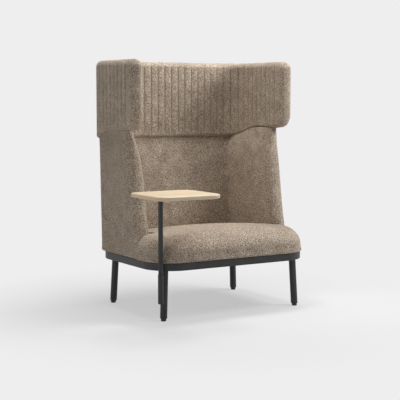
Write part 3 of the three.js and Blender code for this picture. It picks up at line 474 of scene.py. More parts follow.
def repeated(name, source, sizes, material, build):
    """Runs a geometry node tree over a source mesh and keeps its result as a plain mesh. The sizes become the
    tree's named inputs, and build makes the copies from the tree and those inputs."""
    tree = bpy.data.node_groups.new(name, "GeometryNodeTree")
    faces = tree.interface
    faces.new_socket("Geometry", in_out="INPUT", socket_type="NodeSocketGeometry")
    for label in sizes:
        faces.new_socket(label, in_out="INPUT", socket_type="NodeSocketFloat")
    faces.new_socket("Material", in_out="INPUT", socket_type="NodeSocketMaterial")
    faces.new_socket("Geometry", in_out="OUTPUT", socket_type="NodeSocketGeometry")
    entry = put(tree, "NodeGroupInput").outputs
    real = put(tree, "GeometryNodeRealizeInstances", {"Geometry": build(tree, entry)})
    painted = put(tree, "GeometryNodeSetMaterial", {
        "Geometry": real.outputs["Geometry"], "Material": entry["Material"]})
    put(tree, "NodeGroupOutput", {"Geometry": painted.outputs["Geometry"]})
    piece = bpy.data.objects.new(name, source)
    bpy.context.scene.collection.objects.link(piece)
    modifier = piece.modifiers.new(name, "NODES")
    modifier.node_group = tree
    values = dict(sizes, Material=material)
    for socket in faces.items_tree:
        if socket.in_out == "INPUT" and socket.name in values:
            modifier[socket.identifier] = values[socket.name]
    made = bpy.data.meshes.new_from_object(piece.evaluated_get(bpy.context.evaluated_depsgraph_get()))
    piece.modifiers.clear()
    piece.data = made
    return piece


def skin(name, rings, material, sharp=50, looped=False):
    """Closed skin over rings of points, each anticlockwise from above. They are stacked from the bottom up,
    with a cap at each end, or the last one meets the first."""
    rings = np.asarray(rings)
    levels, count = rings.shape[:2]
    first = np.arange(count)
    after = (first + 1) % count
    faces = []
    for k in range(levels if looped else levels - 1):
        a, b = k * count, (k + 1) % levels * count
        faces += np.stack([a + first, a + after, b + after, b + first], 1).tolist()
    if not looped:
        faces.append(first[::-1].tolist())
        faces.append((first + (levels - 1) * count).tolist())
    return mesh_object(name, rings.reshape(-1, 3), faces, material, sharp)


def turned(name, profile, centre, material, lean=(0, 0, 0), steps=64, sharp=35):
    """Turned piece from (radius, height) pairs, from the bottom to the top. The lean is the slope of its
    axis in x and y per height, with the height at which the axis stands over the centre."""
    a = np.arange(steps) * 2 * math.pi / steps
    rings = []
    for radius, z in profile:
        slide = np.array(lean[:2]) * (z - lean[2])
        x = centre[0] + slide[0] + radius * np.cos(a)
        y = centre[1] + slide[1] + radius * np.sin(a)
        rings.append(np.stack([x, y, np.full(steps, z)], 1))
    return skin(name, rings, material, sharp)


def arc(cx, cy, rx, ry, start, end, steps):
    a = np.linspace(start, end, steps + 1)
    return np.stack([cx + rx * np.cos(a), cy + ry * np.sin(a)], 1)


def line(a, b, steps):
    t = np.linspace(0, 1, steps + 1)[:, None]
    return np.array(a) * (1 - t) + np.array(b) * t


def joined(*parts):
    """One path from several that meet end to end."""
    return np.vstack([p if k == 0 else p[1:] for k, p in enumerate(parts)])


def along(path):
    """Lengths from a path's start to each of its points."""
    return np.concatenate([[0], np.cumsum(np.linalg.norm(np.diff(path, axis=0), axis=1))])


def resampled(path, places):
    run = along(path)
    return np.stack([np.interp(places, run, path[:, k]) for k in (0, 1)], 1)


def leftward(path):
    """Unit directions to the left of a path."""
    way = np.gradient(path, axis=0)
    way /= np.linalg.norm(way, axis=1)[:, None]
    return np.stack([-way[:, 1], way[:, 0]], 1)


def both_sides(half):
    """Whole ring, anticlockwise from above, from its right half that runs clockwise between the middles."""
    return np.vstack([half, half[1:-1][::-1] * (-1, 1)])[::-1]


def raised(flat, z):
    return np.column_stack([flat, np.broadcast_to(z, len(flat))])


def edge_depths(radius, steps):
    """Depths below a rounded edge at even turns of its arc."""
    return radius * (1 - np.cos(np.linspace(0, QUARTER, steps + 1)))


def rectangle_ring(half, corner, steps, inset=0):
    """Rectangle with rounded corners round the origin, anticlockwise, moved in by the inset."""
    x, y = half[0] - corner, half[1] - corner
    r = corner - inset
    return np.vstack([arc(x * sx, y * sy, r, r, turn * QUARTER, (turn + 1) * QUARTER, steps)
                      for turn, (sx, sy) in enumerate(((1, 1), (-1, 1), (-1, -1), (1, -1)))])


def board_rings(half, corner, edge, place, low, high, corner_steps, edge_steps):
    """Rings of a flat board or plate with rounded corners and edges, from its lower face to its upper one."""
    depths = edge_depths(edge, edge_steps)
    levels = [*zip(depths, low + depths), *zip(depths[::-1], high - depths[::-1])]
    return [raised(rectangle_ring(half, corner, corner_steps, setback(edge, depth)) + place, z)
            for depth, z in levels]


# Base

def base_ring():
    """Steel channel swept round the ring. Its section is (inset, height) pairs, from the lower edge up the
    outside and back down the inside."""
    turn = edge_depths(RING_EDGE, BASE_EDGE_STEPS)
    rise = setback(RING_EDGE, turn)
    low, high = RING_BOTTOM + RING_WALL, RING_TOP - RING_WALL
    section = [*zip(turn[::-1], RING_BOTTOM + rise[::-1]), *zip(turn, RING_TOP - rise),
               (RING_FLANGE, RING_TOP), (RING_FLANGE, high), (RING_WALL, high), (RING_WALL, low),
               (RING_FLANGE, low), (RING_FLANGE, RING_BOTTOM)]
    rings = [raised(rectangle_ring((RING_HALF, RING_DEEP), RING_CORNER, BASE_CORNER_STEPS, inset), z)
             for inset, z in section]
    piece = skin("base_ring_channel", rings, COAT, sharp=40, looped=True)
    names = [n for n in frame["nodes"] if n.startswith("ring_")]
    return finish_piece(piece, "chair", names)


def legs():
    for name in frame["nodes"]:
        if not name.endswith("_leg"):
            continue
        low, high = [c - CENTRE for c in node_box(name)]
        side = 1 if low[0] > 0 else -1
        end = 1 if low[1] > 0 else -1
        lean = (-side * LEG_SPLAY[0] / LEG_TOP, -end * LEG_SPLAY[1] / LEG_TOP, LEG_TOP)
        top = ((low + high) / 2)[:2] - np.array(lean[:2]) * ((LEG_TOP + LEG_FOOT) / 2 - LEG_TOP)
        tube = [(LEG_RADIUS - LEG_EDGE, LEG_FOOT), (LEG_RADIUS - LEG_EDGE / 3, LEG_FOOT + LEG_EDGE / 3),
                (LEG_RADIUS, LEG_FOOT + LEG_EDGE), (LEG_RADIUS, LEG_TOP)]
        finish_piece(turned(name + "_tube", tube, top, COAT, lean), "chair", [name])
        foot = [(GLIDE_RADIUS - setback(GLIDE_ROUND, d), d) for d in edge_depths(GLIDE_ROUND, GLIDE_STEPS)]
        rim, spigot = LEG_FOOT - GLIDE_GAP, LEG_RADIUS - LEG_WALL
        foot += [(GLIDE_RADIUS, rim), (spigot, rim), (spigot, LEG_FOOT + GLIDE_SPIGOT)]
        glide = name.replace("_leg", "_foot_glide")
        finish_piece(turned(glide + "_cap", foot, top, NYLON, lean), "chair", [glide])


# Lower shell: wings and back

def hood_foot(y):
    """Height of the hood's foot, which rises from the back to the wings."""
    return HOOD_BOTTOM + HOOD_RISE * smoothstep((HOOD_BACK - HOOD_RISE_START - y) / HOOD_RISE_LENGTH)


def shell_paths(share, depth):
    """Right half of the shell's section, in three paths that run clockwise from above: the outside of the
    back, the wing from its outside round its nose to the crease, and the inside of the back. The section lies
    at a share of the shell's height and at a depth below its top edge."""
    tuck = setback(SHELL_TUCK, share * (SHELL_TOP - SEAT_BASE))
    edge = setback(SEAM_ROUND, depth)
    outside = tuck + edge + SHELL_TAPER * (1 - share)
    half, back = SHELL_HALF - outside, SHELL_BACK - outside
    corner = SHELL_CORNER - edge
    inner = SHELL_HALF - mix(*WING_THICK, follow(WING_THICK_SHARES, share)) + tuck + edge
    rear = SHELL_HALF - mix(*WING_REAR_THICK, follow(WING_REAR_THICK_SHARES, share)) + tuck + edge
    inner_back = SHELL_BACK - mix(*BACK_THICK, follow(BACK_THICK_SHARES, share)) + tuck + edge
    front = WING_FRONT + WING_SLOPE * follow(WING_FRONT_SHARES, share) + edge
    nose = mix(NOSE_LOW, NOSE, smoothstep((share - NOSE_START) / NOSE_GROW))
    nose_round = ((half + inner) / 2, front + nose, (half - inner) / 2, nose)
    crease_round = (rear - CREASE, inner_back - CREASE, CREASE, CREASE)
    outer_back = joined(line((0, back), (half - corner, back), STRAIGHT_STEPS),
                        arc(half - corner, back - corner, corner, corner, QUARTER, 0, CORNER_STEPS))
    side = line((inner, front + nose), (rear, inner_back - CREASE), STRAIGHT_STEPS)
    side[:, 0] -= WING_BELLY * np.sin(np.linspace(0, math.pi, len(side)))
    wing = joined(line((half, back - corner), (half, front + nose), STRAIGHT_STEPS),
                  arc(*nose_round, 0, -QUARTER, NOSE_STEPS), arc(*nose_round, -QUARTER, -math.pi, NOSE_STEPS),
                  side, arc(*crease_round, 0, QUARTER / 2, CREASE_STEPS))
    middle = line((rear - CREASE, inner_back), (0, inner_back), STRAIGHT_STEPS)
    crown = BACK_CROWN * math.sin(math.pi * share)
    middle[:, 1] -= crown * (1 - (middle[:, 0] / (rear - CREASE)) ** 2)
    return outer_back, wing, joined(arc(*crease_round, QUARTER / 2, QUARTER, CREASE_STEPS), middle)


def seamed(path, count, start, end):
    """A path with evenly spaced points, rolled inwards at the ends that meet a seam."""
    length = along(path)[-1]
    near = SEAM_ROUND * SEAM_SHARES
    places = np.linspace(SEAM_ROUND * start, length - SEAM_ROUND * end, count)
    places = np.concatenate([near[:len(near) * start], places, (length - near[:len(near) * end])[::-1]])
    flat = resampled(path, places)
    rest = np.full(len(flat), 1.0)
    if start:
        rest = np.minimum(rest, places)
    if end:
        rest = np.minimum(rest, length - places)
    return flat - leftward(flat) * setback(SEAM_ROUND, rest)[:, None]


def shell_levels():
    """Heights of the rings above the seat's base, each with its depth below the top edge."""
    rise = HOOD_BOTTOM - PAD_GAP - SEAT_BASE
    low = edge_depths(SHELL_TUCK, SHELL_TUCK_STEPS)
    high = rise - edge_depths(SEAM_ROUND, SHELL_SEAM_STEPS)[::-1]
    heights = np.concatenate([low, np.linspace(SHELL_TUCK, rise - SEAM_ROUND, SHELL_RINGS)[1:-1], high])
    return [(h, rise - h) for h in heights]


def shell_height(height, y):
    """Height above the floor of a level, which bends up towards the hood's edge."""
    share = height / (HOOD_BOTTOM - SEAT_BASE)
    lift = smoothstep((share - SHELL_LIFT_START) / (1 - SHELL_LIFT_START))
    return SEAT_BASE + height + lift * (hood_foot(y) - HOOD_BOTTOM)


def shell():
    wings, backs = [], []
    for height, depth in shell_levels():
        outer_back, wing, inner_back = shell_paths(height / (SHELL_TOP - SEAT_BASE), depth)
        wing = seamed(wing, WING_POINTS, True, True)
        wing = np.vstack([wing, line(wing[-1], wing[0], HIDDEN_STEPS)[1:-1]])[::-1]
        wings.append(raised(wing, shell_height(height, wing[:, 1])))
        outer = seamed(outer_back, BACK_OUTER_POINTS, False, True)
        inner = seamed(inner_back, BACK_INNER_POINTS, True, False)
        ring = both_sides(np.vstack([outer, line(outer[-1], inner[0], HIDDEN_STEPS)[1:-1], inner]))
        backs.append(raised(ring, shell_height(height, ring[:, 1])))
    wings = np.array(wings)
    left = (wings * (-1, 1, 1))[:, ::-1]
    pieces = []
    for name, rings in (("right_wing", wings), ("left_wing", left), ("back", np.array(backs))):
        piece = skin(name + "_cover", rings, WOOL)
        pieces.append(finish_piece(piece, "chair", [name + "_pad"]))
    return pieces


# Seat cushion

def seat_crown(x, y):
    """Height of the cushion's top, which falls to the front, the rear and the sides."""
    fore = (y - SEAT_FRONT) / (SHELL_BACK - BACK_THICK[0] - SEAT_FRONT)
    ahead = np.clip(1 - fore / SEAT_HIGHEST_SHARE, 0, 1) ** SEAT_FRONT_CURVE
    behind = np.clip((fore - SEAT_HIGHEST_SHARE) / (1 - SEAT_HIGHEST_SHARE), 0, 1) ** SEAT_REAR_CURVE
    return (SEAT_HEIGHT - SEAT_FRONT_FALL * ahead - SEAT_REAR_FALL * behind
            - SEAT_SIDE_FALL * (x / SHELL_HALF) ** 2)


def seat_half():
    """Right half of the cushion's outline, anticlockwise from the front middle, and how far each point
    moves in for each millimetre of the rounded edge. The edges that the shell holds hardly round."""
    half, r = RING_HALF + SEAT_OVERHANG, SEAT_CORNER
    hem, rear_hem = SHELL_HALF - WING_THICK[0] - PAD_GAP, SHELL_HALF - WING_REAR_THICK[0] - PAD_GAP
    ear, rear = WING_FRONT - PAD_GAP, SHELL_BACK - BACK_THICK[0] - PAD_GAP
    stretches = [line((0, SEAT_FRONT), (half - r, SEAT_FRONT), SEAT_FRONT_STEPS),
                 arc(half - r, SEAT_FRONT + r, r, r, -QUARTER, 0, SEAT_CORNER_STEPS),
                 line((half, SEAT_FRONT + r), (half, ear), SEAT_SIDE_STEPS),
                 line((half, ear), (hem, ear), SEAT_EAR_STEPS),
                 line((hem, ear), (rear_hem, rear - CREASE), SEAT_WING_STEPS),
                 arc(rear_hem - CREASE, rear - CREASE, CREASE, CREASE, 0, QUARTER, CREASE_STEPS),
                 line((rear_hem - CREASE, rear), (0, rear), SEAT_REAR_STEPS)]
    path = joined(*stretches)
    corner_start, corner_end, side_end, ear_end = np.cumsum([len(s) - 1 for s in stretches])[:4]
    moves = leftward(path)
    moves[corner_end:side_end + 1] = (-1, 0)
    turn = np.linspace(0, 1, SEAT_CORNER_STEPS + 1)
    share = np.full(len(path), SEAT_HELD_SHARE)
    share[:corner_start + 1] = 1
    share[corner_start:corner_end + 1] = mix(1, SEAT_SIDE_SHARE, smoothstep(turn))
    share[corner_end:side_end + 1] = SEAT_SIDE_SHARE
    moves *= share[:, None]
    # Along the ear's rear face the round dies away from the side to the wing's inner face.
    out = np.linspace(1, 0, SEAT_EAR_STEPS + 1)
    moves[side_end:ear_end + 1] = np.column_stack([
        -mix(SEAT_HELD_SHARE, SEAT_SIDE_SHARE, out), np.full(len(out), -SEAT_HELD_SHARE)])
    return path, moves


def seat_rings():
    path, moves = seat_half()
    whole = np.vstack([path, path[1:-1][::-1] * (-1, 1)])
    moves = np.vstack([moves, moves[1:-1][::-1] * (-1, 1)])
    shoulder = SEAT_BASE + SEAT_BULGE_HIGH
    rings = []
    for depth in edge_depths(SEAT_TUCK, SEAT_TUCK_STEPS):
        rings.append(raised(whole + moves * SEAT_TUCK_DRAW * setback(SEAT_TUCK, depth), SEAT_BASE + depth))
    rings.append(raised(whole, SEAT_BASE + SEAT_BULGE_LOW))
    rings.append(raised(whole, shoulder))
    for a in np.linspace(0, QUARTER, SEAT_EDGE_RINGS)[1:]:
        flat = whole + moves * SEAT_EDGE_ROUND * (1 - math.cos(a))
        rings.append(raised(flat, mix(shoulder, seat_crown(flat[:, 0], flat[:, 1]), math.sin(a))))
    edge = rings[-1]
    # The crown's rings shrink to a line along the middle, not to a point, so that none of them folds.
    ear = WING_FRONT - PAD_GAP - SEAT_HELD_SHARE * SEAT_EDGE_ROUND - SEAT_TUCK
    rear = edge[:, 1].max() - SEAT_EDGE_ROUND
    spine = np.column_stack([np.zeros(len(edge)), np.clip(edge[:, 1] - SEAT_TUCK, ear, rear)])
    for t in np.linspace(0, 1, SEAT_CROWN_RINGS)[1:-1]:
        flat = edge[:, :2] * (1 - t) + spine * t
        rings.append(raised(flat, seat_crown(flat[:, 0], flat[:, 1])))
    return rings


def seat():
    piece = skin("seat_cover", seat_rings(), WOOL)
    return finish_piece(piece, "chair", ["seat_cushion"])


# Hood

def hood_half_path(half, back, corner, front):
    """One face of the hood's right half, from the middle of the back to where the rounded front begins."""
    return joined(line((0, back), (half - corner, back), HOOD_STRAIGHT_STEPS),
                  arc(half - corner, back - corner, corner, corner, QUARTER, 0, HOOD_CORNER_STEPS),
                  line((half, back - corner), (half, front), HOOD_STRAIGHT_STEPS))


def channelled(path):
    """A path sampled finely at its channels' seams: its points, their directions to the left, and each one's
    share of the channel depth. The last half channel, before the rounded front, has no seam."""
    length = along(path)[-1]
    count = round(2 * length / CHANNEL_PITCH)
    pitch = 2 * length / count
    start = 0 if count % 2 == 0 else -0.5
    phases = np.concatenate([start + k + CHANNEL_SHARES for k in range(count // 2 + 2)])
    phases = phases[(phases > TINY) & (phases * pitch < length - TINY)]
    phases = np.concatenate([[0], phases, [length / pitch]])
    flat = resampled(path, phases * pitch)
    depth = 1 - np.abs(np.sin(math.pi * (phases - start))) ** CHANNEL_CURVE
    depth[phases * pitch > length - pitch / 2] = 0
    return flat, leftward(flat), depth


def channel_fade(y, z):
    """Share of the channels' depth at a height: they die away near the hood's foot and its top."""
    low = (z - hood_foot(y) - CHANNEL_FOOT) / CHANNEL_FADE
    high = (HOOD_TOP - CHANNEL_TOP - z) / CHANNEL_FADE
    return smoothstep(low + 0.5) * smoothstep(high + 0.5)


def squeezed(flat, front, back_by):
    """Points near the front moved back, so that they end where the rounded front begins."""
    if back_by < TINY:
        return flat
    from_front = flat[:, 1] - front
    moved = flat.copy()
    near = from_front < SQUEEZE_REACH * back_by
    moved[near, 1] = front + back_by + from_front[near] * (1 - 1 / SQUEEZE_REACH)
    return moved


def hood_levels():
    """The hood's rings from the foot up: how far each one's faces roll in, how far its front stands back,
    and its height at a place along y."""
    levels = []
    for depth in (*edge_depths(HOOD_FOOT_ROUND, HOOD_FOOT_STEPS),
                  *np.linspace(HOOD_FOOT_ROUND, HOOD_LOW_FRONT, HOOD_LOW_RINGS)[1:]):
        levels.append((setback(HOOD_FOOT_ROUND, depth), setback(HOOD_LOW_FRONT, depth),
                       lambda y, d=depth: hood_foot(y) + d))
    for t in np.linspace(0, 1, HOOD_RINGS)[1:-1]:
        levels.append((0, 0, lambda y, t=t: mix(
            hood_foot(y) + HOOD_LOW_FRONT, HOOD_TOP - HOOD_TOP_FRONT, t)))
    for depth in (HOOD_TOP_FRONT, *edge_depths(HOOD_EDGE_ROUND, HOOD_EDGE_STEPS)[::-1]):
        levels.append((setback(HOOD_EDGE_ROUND, depth), setback(HOOD_TOP_FRONT, depth),
                       lambda y, d=depth: np.full(np.shape(y), HOOD_TOP - d)))
    return levels


def hood_rings():
    """The hood's rings, and the share of the channel depth at each of their points."""
    front = HOOD_FRONT + HOOD_THICK / 2
    outer, outer_left, outer_depth = channelled(hood_half_path(
        HOOD_HALF, HOOD_BACK, HOOD_CORNER, front))
    inner, inner_left, inner_depth = [values[::-1] for values in channelled(hood_half_path(
        HOOD_HALF - HOOD_THICK, HOOD_BACK - HOOD_THICK, HOOD_CORNER - HOOD_THICK, front))]
    rings, seams = [], []
    for roll, back_by, height in hood_levels():
        outer_sunk = outer_depth * channel_fade(outer[:, 1], height(outer[:, 1]))
        inner_sunk = inner_depth * channel_fade(inner[:, 1], height(inner[:, 1]))
        outer_in, inner_in = roll + CHANNEL_DEPTH * outer_sunk, roll + CHANNEL_DEPTH * inner_sunk
        outside = squeezed(outer, front, back_by) - outer_left * outer_in[:, None]
        inside = squeezed(inner, front, back_by) + inner_left * inner_in[:, None]
        nose = arc(HOOD_HALF - HOOD_THICK / 2, front + back_by, HOOD_THICK / 2 - roll, HOOD_THICK / 2,
                   0, -math.pi, HOOD_NOSE_STEPS)[1:-1]
        ring = both_sides(np.vstack([outside, nose, inside]))
        half = np.concatenate([outer_sunk, np.zeros(len(nose)), inner_sunk])
        rings.append(raised(ring, height(ring[:, 1])))
        seams.append(np.concatenate([half, half[1:-1][::-1]])[::-1])
    return np.array(rings), np.array(seams)


def hood():
    rings, seams = hood_rings()
    piece = skin("hood_cover", rings, WOOL)
    # Painted shade: each point's share of the channel depth, sharpened, is kept as an attribute that darkens
    # the cloth's colour along the seams.
    depth = piece.data.attributes.new(SEAM_SHADE_ATTRIBUTE, "FLOAT", "POINT")
    depth.data.foreach_set("value", seams.ravel() ** SEAM_SHADOW_CURVE)
    finish_piece(piece, "chair", ["hood_upholstery"])
    channel_stitches(rings, seams)
    return piece


def stitch_rows(tree, entry):
    """Bowed lengths of thread along the seam lines. Each one turns its bow to the line's outward side."""
    lines = put(tree, "GeometryNodeMeshToCurve", {"Mesh": entry["Geometry"]})
    spaced = put(tree, "GeometryNodeResampleCurve", {
        "Curve": lines.outputs["Curve"], "Length": entry["Step"]}, mode="LENGTH")
    half = maths(tree, "MULTIPLY", entry["Length"], 0.5)
    bow = put(tree, "GeometryNodeCurveQuadraticBezier", {
        "Resolution": BOW_STEPS, "Start": vector(tree, X=maths(tree, "MULTIPLY", half, -1.0)),
        "Middle": vector(tree, Z=entry["Rise"]), "End": vector(tree, X=half)})
    section = put(tree, "GeometryNodeCurvePrimitiveCircle", {
        "Resolution": THREAD_SIDES, "Radius": entry["Radius"]})
    stitch = put(tree, "GeometryNodeCurveToMesh", {
        "Curve": bow.outputs["Curve"], "Profile Curve": section.outputs["Curve"], "Fill Caps": True})
    along_seam = put(tree, "FunctionNodeAlignRotationToVector", {
        "Vector": put(tree, "GeometryNodeInputTangent").outputs["Tangent"]}, axis="X")
    outward = put(tree, "GeometryNodeInputNamedAttribute", {"Name": "outward"}, data_type="FLOAT_VECTOR")
    turned_out = put(tree, "FunctionNodeAlignRotationToVector", {
        "Rotation": along_seam.outputs["Rotation"], "Vector": outward.outputs["Attribute"]},
        axis="Z", pivot_axis="X")
    return put(tree, "GeometryNodeInstanceOnPoints", {
        "Points": spaced.outputs["Curve"], "Instance": stitch.outputs["Mesh"],
        "Rotation": turned_out.outputs["Rotation"]}).outputs["Instances"]


def channel_stitches(rings, seams):
    """One run of stitches down each channel's seam, laid by a geometry node tree."""
    points, edges, ways = [], [], []
    for column in np.flatnonzero(seams.max(0) > SEAM_SHARE):
        levels = np.flatnonzero(seams[:, column] > STITCHED_SHARE)
        run = rings[levels, column]
        across = rings[levels, (column + 1) % rings.shape[1]] - rings[levels, column - 1]
        out = np.cross(across, (0, 0, 1))
        out /= np.linalg.norm(out, axis=1)[:, None]
        edges += [(len(points) + k, len(points) + k + 1) for k in range(len(run) - 1)]
        points += (run + CENTRE).tolist()
        ways += out.tolist()
    source = bpy.data.meshes.new("channel_seam_lines")
    source.from_pydata(points, edges, [])
    source.attributes.new("outward", "FLOAT_VECTOR", "POINT").data.foreach_set("vector", np.ravel(ways))
    sizes = {"Step": STITCH_STEP, "Length": STITCH_LENGTH, "Rise": STITCH_RISE, "Radius": THREAD_RADIUS}
    piece = repeated("hood_channel_stitches", source, sizes, THREAD, stitch_rows)
    finish_piece(piece, "chair")


# Stuffing

def mesh_points(mesh, what="co"):
    values = np.empty(len(mesh.vertices) * 3)
    if what == "co":
        mesh.vertices.foreach_get("co", values)
    else:
        mesh.vertex_normals.foreach_get("vector", values)
    return values.reshape(-1, 3)


def swollen(mesh):
    """Simulates the cover with pressure inside it, as cloth on an even net of its shape. Returns the net's
    points, their outward ways, how far each one moves, and the pairs that are linked."""
    scene = bpy.context.scene
    trial = bpy.data.objects.new("trial_cover", mesh.copy())
    scene.collection.objects.link(trial)
    net = trial.modifiers.new("net", "REMESH")
    net.mode = "VOXEL"
    net.voxel_size = VOXEL
    made = trial.evaluated_get(bpy.context.evaluated_depsgraph_get())
    trial.data = bpy.data.meshes.new_from_object(made)
    trial.modifiers.clear()
    cloth = trial.modifiers.new("cover", "CLOTH")
    cloth.settings.quality = CLOTH_QUALITY
    cloth.settings.use_pressure = True
    cloth.settings.uniform_pressure_force = PRESSURE
    cloth.settings.effector_weights.gravity = 0
    cloth.point_cache.frame_start = 1
    cloth.point_cache.frame_end = STUFFING_FRAMES
    for frame_number in range(1, STUFFING_FRAMES + 1):
        scene.frame_set(frame_number)
    start, ways = mesh_points(trial.data), mesh_points(trial.data, "normal")
    move = mesh_points(trial.evaluated_get(bpy.context.evaluated_depsgraph_get()).data) - start
    links = np.empty(len(trial.data.edges) * 2, int)
    trial.data.edges.foreach_get("vertices", links)
    bpy.data.objects.remove(trial)
    scene.frame_set(1)
    return start, ways, move, links.reshape(-1, 2)


def evened(move, links):
    """Each point's movement averaged with its neighbours', as taut cloth pulls small folds flat."""
    total, count = move.copy(), np.ones(len(move))
    for a, b in (links.T, links.T[::-1]):
        count += np.bincount(a, minlength=len(move))
        for axis in range(3):
            total[:, axis] += np.bincount(a, move[b, axis], len(move))
    return total / count[:, None]


def carried(net, move, place):
    """The net's movement at a place, from its nearest points."""
    found = net.find_n(place, NET_POINTS)
    weights = np.array([1 / (distance + NET_REACH) for _, _, distance in found])
    return weights @ move[[index for _, index, _ in found]] / weights.sum()


def stuff(covers, neighbours):
    """Gives each fine cover its simulated swelling, capped, from a start that is a little smaller. Both die
    away towards the base and the next covers, so that the joins between them stay closed."""
    walls = {c.name: BVHTree.FromPolygons([tuple(p) for p in mesh_points(c.data)],
                                          [tuple(f.vertices) for f in c.data.polygons])
             for c in covers + neighbours}
    for cover in covers:
        start, ways, move, links = swollen(cover.data)
        size = np.maximum(np.linalg.norm(move, axis=1)[:, None], 1e-9)
        move = move * SWELL * (1 - np.exp(-size / SWELL_EASE)) / size - START_SMALLER * ways
        for _ in range(TAUT):
            move = evened(move, links)
        net = KDTree(len(start))
        for k, place in enumerate(start):
            net.insert(place, k)
        net.balance()
        points = mesh_points(cover.data)
        others = [wall for name, wall in walls.items() if name != cover.name]
        for k, place in enumerate(points.copy()):
            room = (place[2] - SEAT_BASE) / BASE_CLEAR
            for wall in others:
                gap = wall.find_nearest(place, CLEAR)[3]
                room = min(room, 1 if gap is None else gap / CLEAR)
            share = float(smoothstep(room))
            if share:
                points[k] = place + share * carried(net, move, place)
        cover.data.vertices.foreach_set("co", points.ravel())
        cover.data.update()


# Table

def tabletop():
    half, middle = (TABLE_HIGH - TABLE_LOW) / 2, (TABLE_LOW + TABLE_HIGH) / 2
    rings = board_rings(half, TABLE_CORNER, TABLE_EDGE, middle[:2], TABLE_LOW[2], TABLE_HIGH[2],
                        TABLE_CORNER_STEPS, TABLE_EDGE_STEPS)
    return finish_piece(skin("table_board", rings, ASH), "side_table", ["tabletop"])


def post():
    """The post narrows to a spigot that turns in the bushes, with a shoulder just above the upper one."""
    low, high, shoulder = POST_LOW[2], POST_HIGH[2], BUSH_TOP + JOINT_GAP
    profile = [(POST_SPIGOT - POST_EDGE, low), (POST_SPIGOT, low + POST_EDGE),
               (POST_SPIGOT, shoulder - SHOULDER_SLOPE), (POST_RADIUS - POST_EDGE, shoulder),
               (POST_RADIUS - POST_EDGE * POST_EDGE_SHARE, shoulder + POST_EDGE * POST_EDGE_SHARE),
               (POST_RADIUS, shoulder + POST_EDGE), (POST_RADIUS, high)]
    finish_piece(turned("table_post_tube", profile, POST_PLACE, COAT), "side_table",
                 ["table_post"])


def socket_screws(tree, entry):
    """Round heads with a hexagon socket, hung below the source's points."""
    foot = maths(tree, "MULTIPLY", entry["Radius"], SCREW_TAPER_SHARE)
    head = put(tree, "GeometryNodeMeshCone", {
        "Vertices": SCREW_SIDES, "Radius Top": entry["Radius"], "Radius Bottom": foot,
        "Depth": entry["Height"]})
    hexagon = put(tree, "GeometryNodeMeshCylinder", {
        "Vertices": 6, "Depth": entry["Height"], "Radius": maths(tree, "DIVIDE", entry["Hex"], 3 ** 0.5)})
    cutter = put(tree, "GeometryNodeTransform", {
        "Geometry": hexagon.outputs["Mesh"],
        "Translation": vector(tree, Z=maths(tree, "MULTIPLY", entry["Height"], -HEX_OUTSIDE_SHARE))})
    hollow = put(tree, "GeometryNodeMeshBoolean", {
        "Mesh 1": head.outputs["Mesh"], "Mesh 2": cutter.outputs["Geometry"]}, operation="DIFFERENCE")
    hung = put(tree, "GeometryNodeTransform", {
        "Geometry": hollow.outputs["Mesh"],
        "Translation": vector(tree, Z=maths(tree, "MULTIPLY", entry["Height"], -1.0))})
    points = put(tree, "GeometryNodeMeshToPoints", {"Mesh": entry["Geometry"]})
    return put(tree, "GeometryNodeInstanceOnPoints", {
        "Points": points.outputs["Points"], "Instance": hung.outputs["Geometry"]}).outputs["Instances"]


def table_plate():
    """Steel plate welded to the post's top, held to the board by four socket screws from below."""
    bottom = PLATE_LOW + SCREW_HEIGHT
    rings = board_rings((PLATE_HALF, PLATE_HALF), PLATE_CORNER, PLATE_EDGE, POST_PLACE, bottom,
                        TABLE_LOW[2] - JOINT_GAP, PLATE_CORNER_STEPS, PLATE_EDGE_STEPS)
    sheet = skin("table_plate_sheet", rings, COAT, sharp=40)
    finish_piece(sheet, "side_table", ["table_plate"])
    bead = [(POST_RADIUS + WELD * (1 - math.sin(a)) * WELD_WIDTH_SHARE,
             bottom - WELD * (1 - math.cos(a)) - WELD_GAP) for a in np.linspace(QUARTER, 0, WELD_STEPS)]
    bead.insert(0, (POST_RADIUS - WELD_ROOT, bead[0][1]))
    finish_piece(turned("table_post_weld", bead, POST_PLACE, COAT), "side_table")
    corners = [(x * PLATE_SCREW, y * PLATE_SCREW, bottom) for x in (-1, 1) for y in (-1, 1)]
    source = bpy.data.meshes.new("table_screw_places")
    source.from_pydata((np.array(corners) + (*POST_PLACE, 0) + CENTRE).tolist(), [], [])
    sizes = {"Radius": SCREW_HEAD, "Height": SCREW_HEIGHT, "Hex": HEX_ACROSS}
    screws = repeated("table_plate_screws", source, sizes, ZINC, socket_screws)
    finish_piece(screws, "side_table")


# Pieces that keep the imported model's shape

def dress_nodes():
    by_slot = {"black_steel": COAT, "pale_ash": ASH, "birch_plywood": PLY, "zinc_steel": ZINC,
               "black_nylon": NYLON, "wool_fabric": WOOL}
    slots = {s["node"]: s["material_slot"] for s in frame["record"]["subparts"]}
    for name, node in frame["nodes"].items():
        node.data.materials.clear()
        node.data.materials.append(by_slot[slots[name]])


# Floor, light and camera

def seen_directly(tree):
    """1 on rays that show a surface as it is: from the camera, off a mirror or through glass."""
    path = put(tree, "ShaderNodeLightPath")
    share = path.outputs["Is Camera Ray"]
    for other in ("Is Glossy Ray", "Is Transmission Ray"):
        share = maths(tree, "MAXIMUM", share, path.outputs[other])
    return share


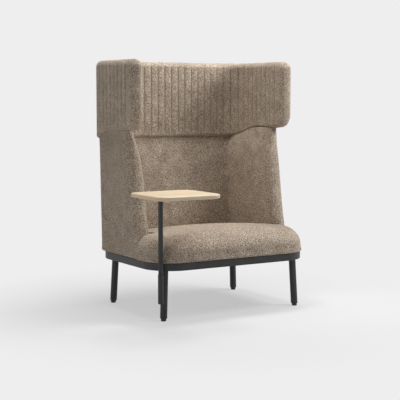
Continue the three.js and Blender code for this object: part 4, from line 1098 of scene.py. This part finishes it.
def backdrop():
    """A weak even light all round, which looks like plain paper where it is seen."""
    world = bpy.data.worlds.new("studio")
    world.use_nodes = True
    tree = world.node_tree
    tree.nodes.clear()
    light = put(tree, "ShaderNodeBackground", {"Color": linear("FFFFFF"), "Strength": WORLD_STRENGTH})
    paper = put(tree, "ShaderNodeBackground", {"Color": linear(PAPER_WHITE), "Strength": 1.0})
    seen = put(tree, "ShaderNodeMixShader", {
        0: seen_directly(tree), 1: light.outputs["Background"], 2: paper.outputs["Background"]})
    put(tree, "ShaderNodeOutputWorld", {"Surface": seen.outputs["Shader"]})
    bpy.context.scene.world = world


def lamps():
    for name, (spot, watts) in LAMPS.items():
        lamp = bpy.data.objects.new(name, bpy.data.lights.new(name, "POINT"))
        lamp.data.energy = watts
        lamp.data.shadow_soft_size = LAMP_RADIUS
        lamp.location = CENTRE + spot
        bpy.context.scene.collection.objects.link(lamp)


def paper_floor(tree, place):
    """Matt white floor that takes the chair's shadow. What is seen of it is partly plain paper, and wholly so
    farther off."""
    matt = put(tree, "ShaderNodeBsdfPrincipled", {
        "Base Color": linear("D4D3D4"), "Roughness": 0.6, "Specular IOR Level": 0.0})
    paper = put(tree, "ShaderNodeEmission", {"Color": linear(PAPER_WHITE), "Strength": 1.0})
    reach = put(tree, "ShaderNodeVectorMath", {0: place}, operation="LENGTH")
    fade = put(tree, "ShaderNodeMapRange", {
        "Value": reach.outputs["Value"], "From Min": FLOOR_REACH[0], "From Max": FLOOR_REACH[1],
        "To Min": FLOOR_PAPER_SHARE}, interpolation_type="SMOOTHSTEP")
    share = maths(tree, "MULTIPLY", fade.outputs["Result"], seen_directly(tree))
    return put(tree, "ShaderNodeMixShader", {
        0: share, 1: matt.outputs["BSDF"], 2: paper.outputs["Emission"]}).outputs["Shader"]


def floor():
    corners = [(x * FLOOR_HALF, y * FLOOR_HALF, 0) for x, y in ((-1, -1), (1, -1), (1, 1), (-1, 1))]
    ground = mesh_object("floor", corners, [(0, 1, 2, 3)], new_material("matt_white_floor", paper_floor))


def camera():
    data = bpy.data.cameras.new("photo_camera")
    data.sensor_width = SENSOR_MM
    data.lens = SENSOR_MM * PHOTO_FOCAL_PX / PHOTO_SIDE_PX
    data.clip_end = CAMERA_REACH
    eye = bpy.data.objects.new("photo_camera", data)
    eye.location = CENTRE + CAMERA_PLACE
    eye.rotation_euler = (math.radians(90 - CAMERA_DIP), 0, math.radians(-CAMERA_TURN))
    bpy.context.scene.collection.objects.link(eye)
    bpy.context.scene.camera = eye
    bpy.context.scene.view_settings.view_transform = "Standard"


camera()
backdrop()
lamps()
floor()
dress_nodes()
base_ring()
legs()
covers = shell() + [seat()]
hood_cover = hood()
stuff(covers, [hood_cover])
tabletop()
post()
table_plate()
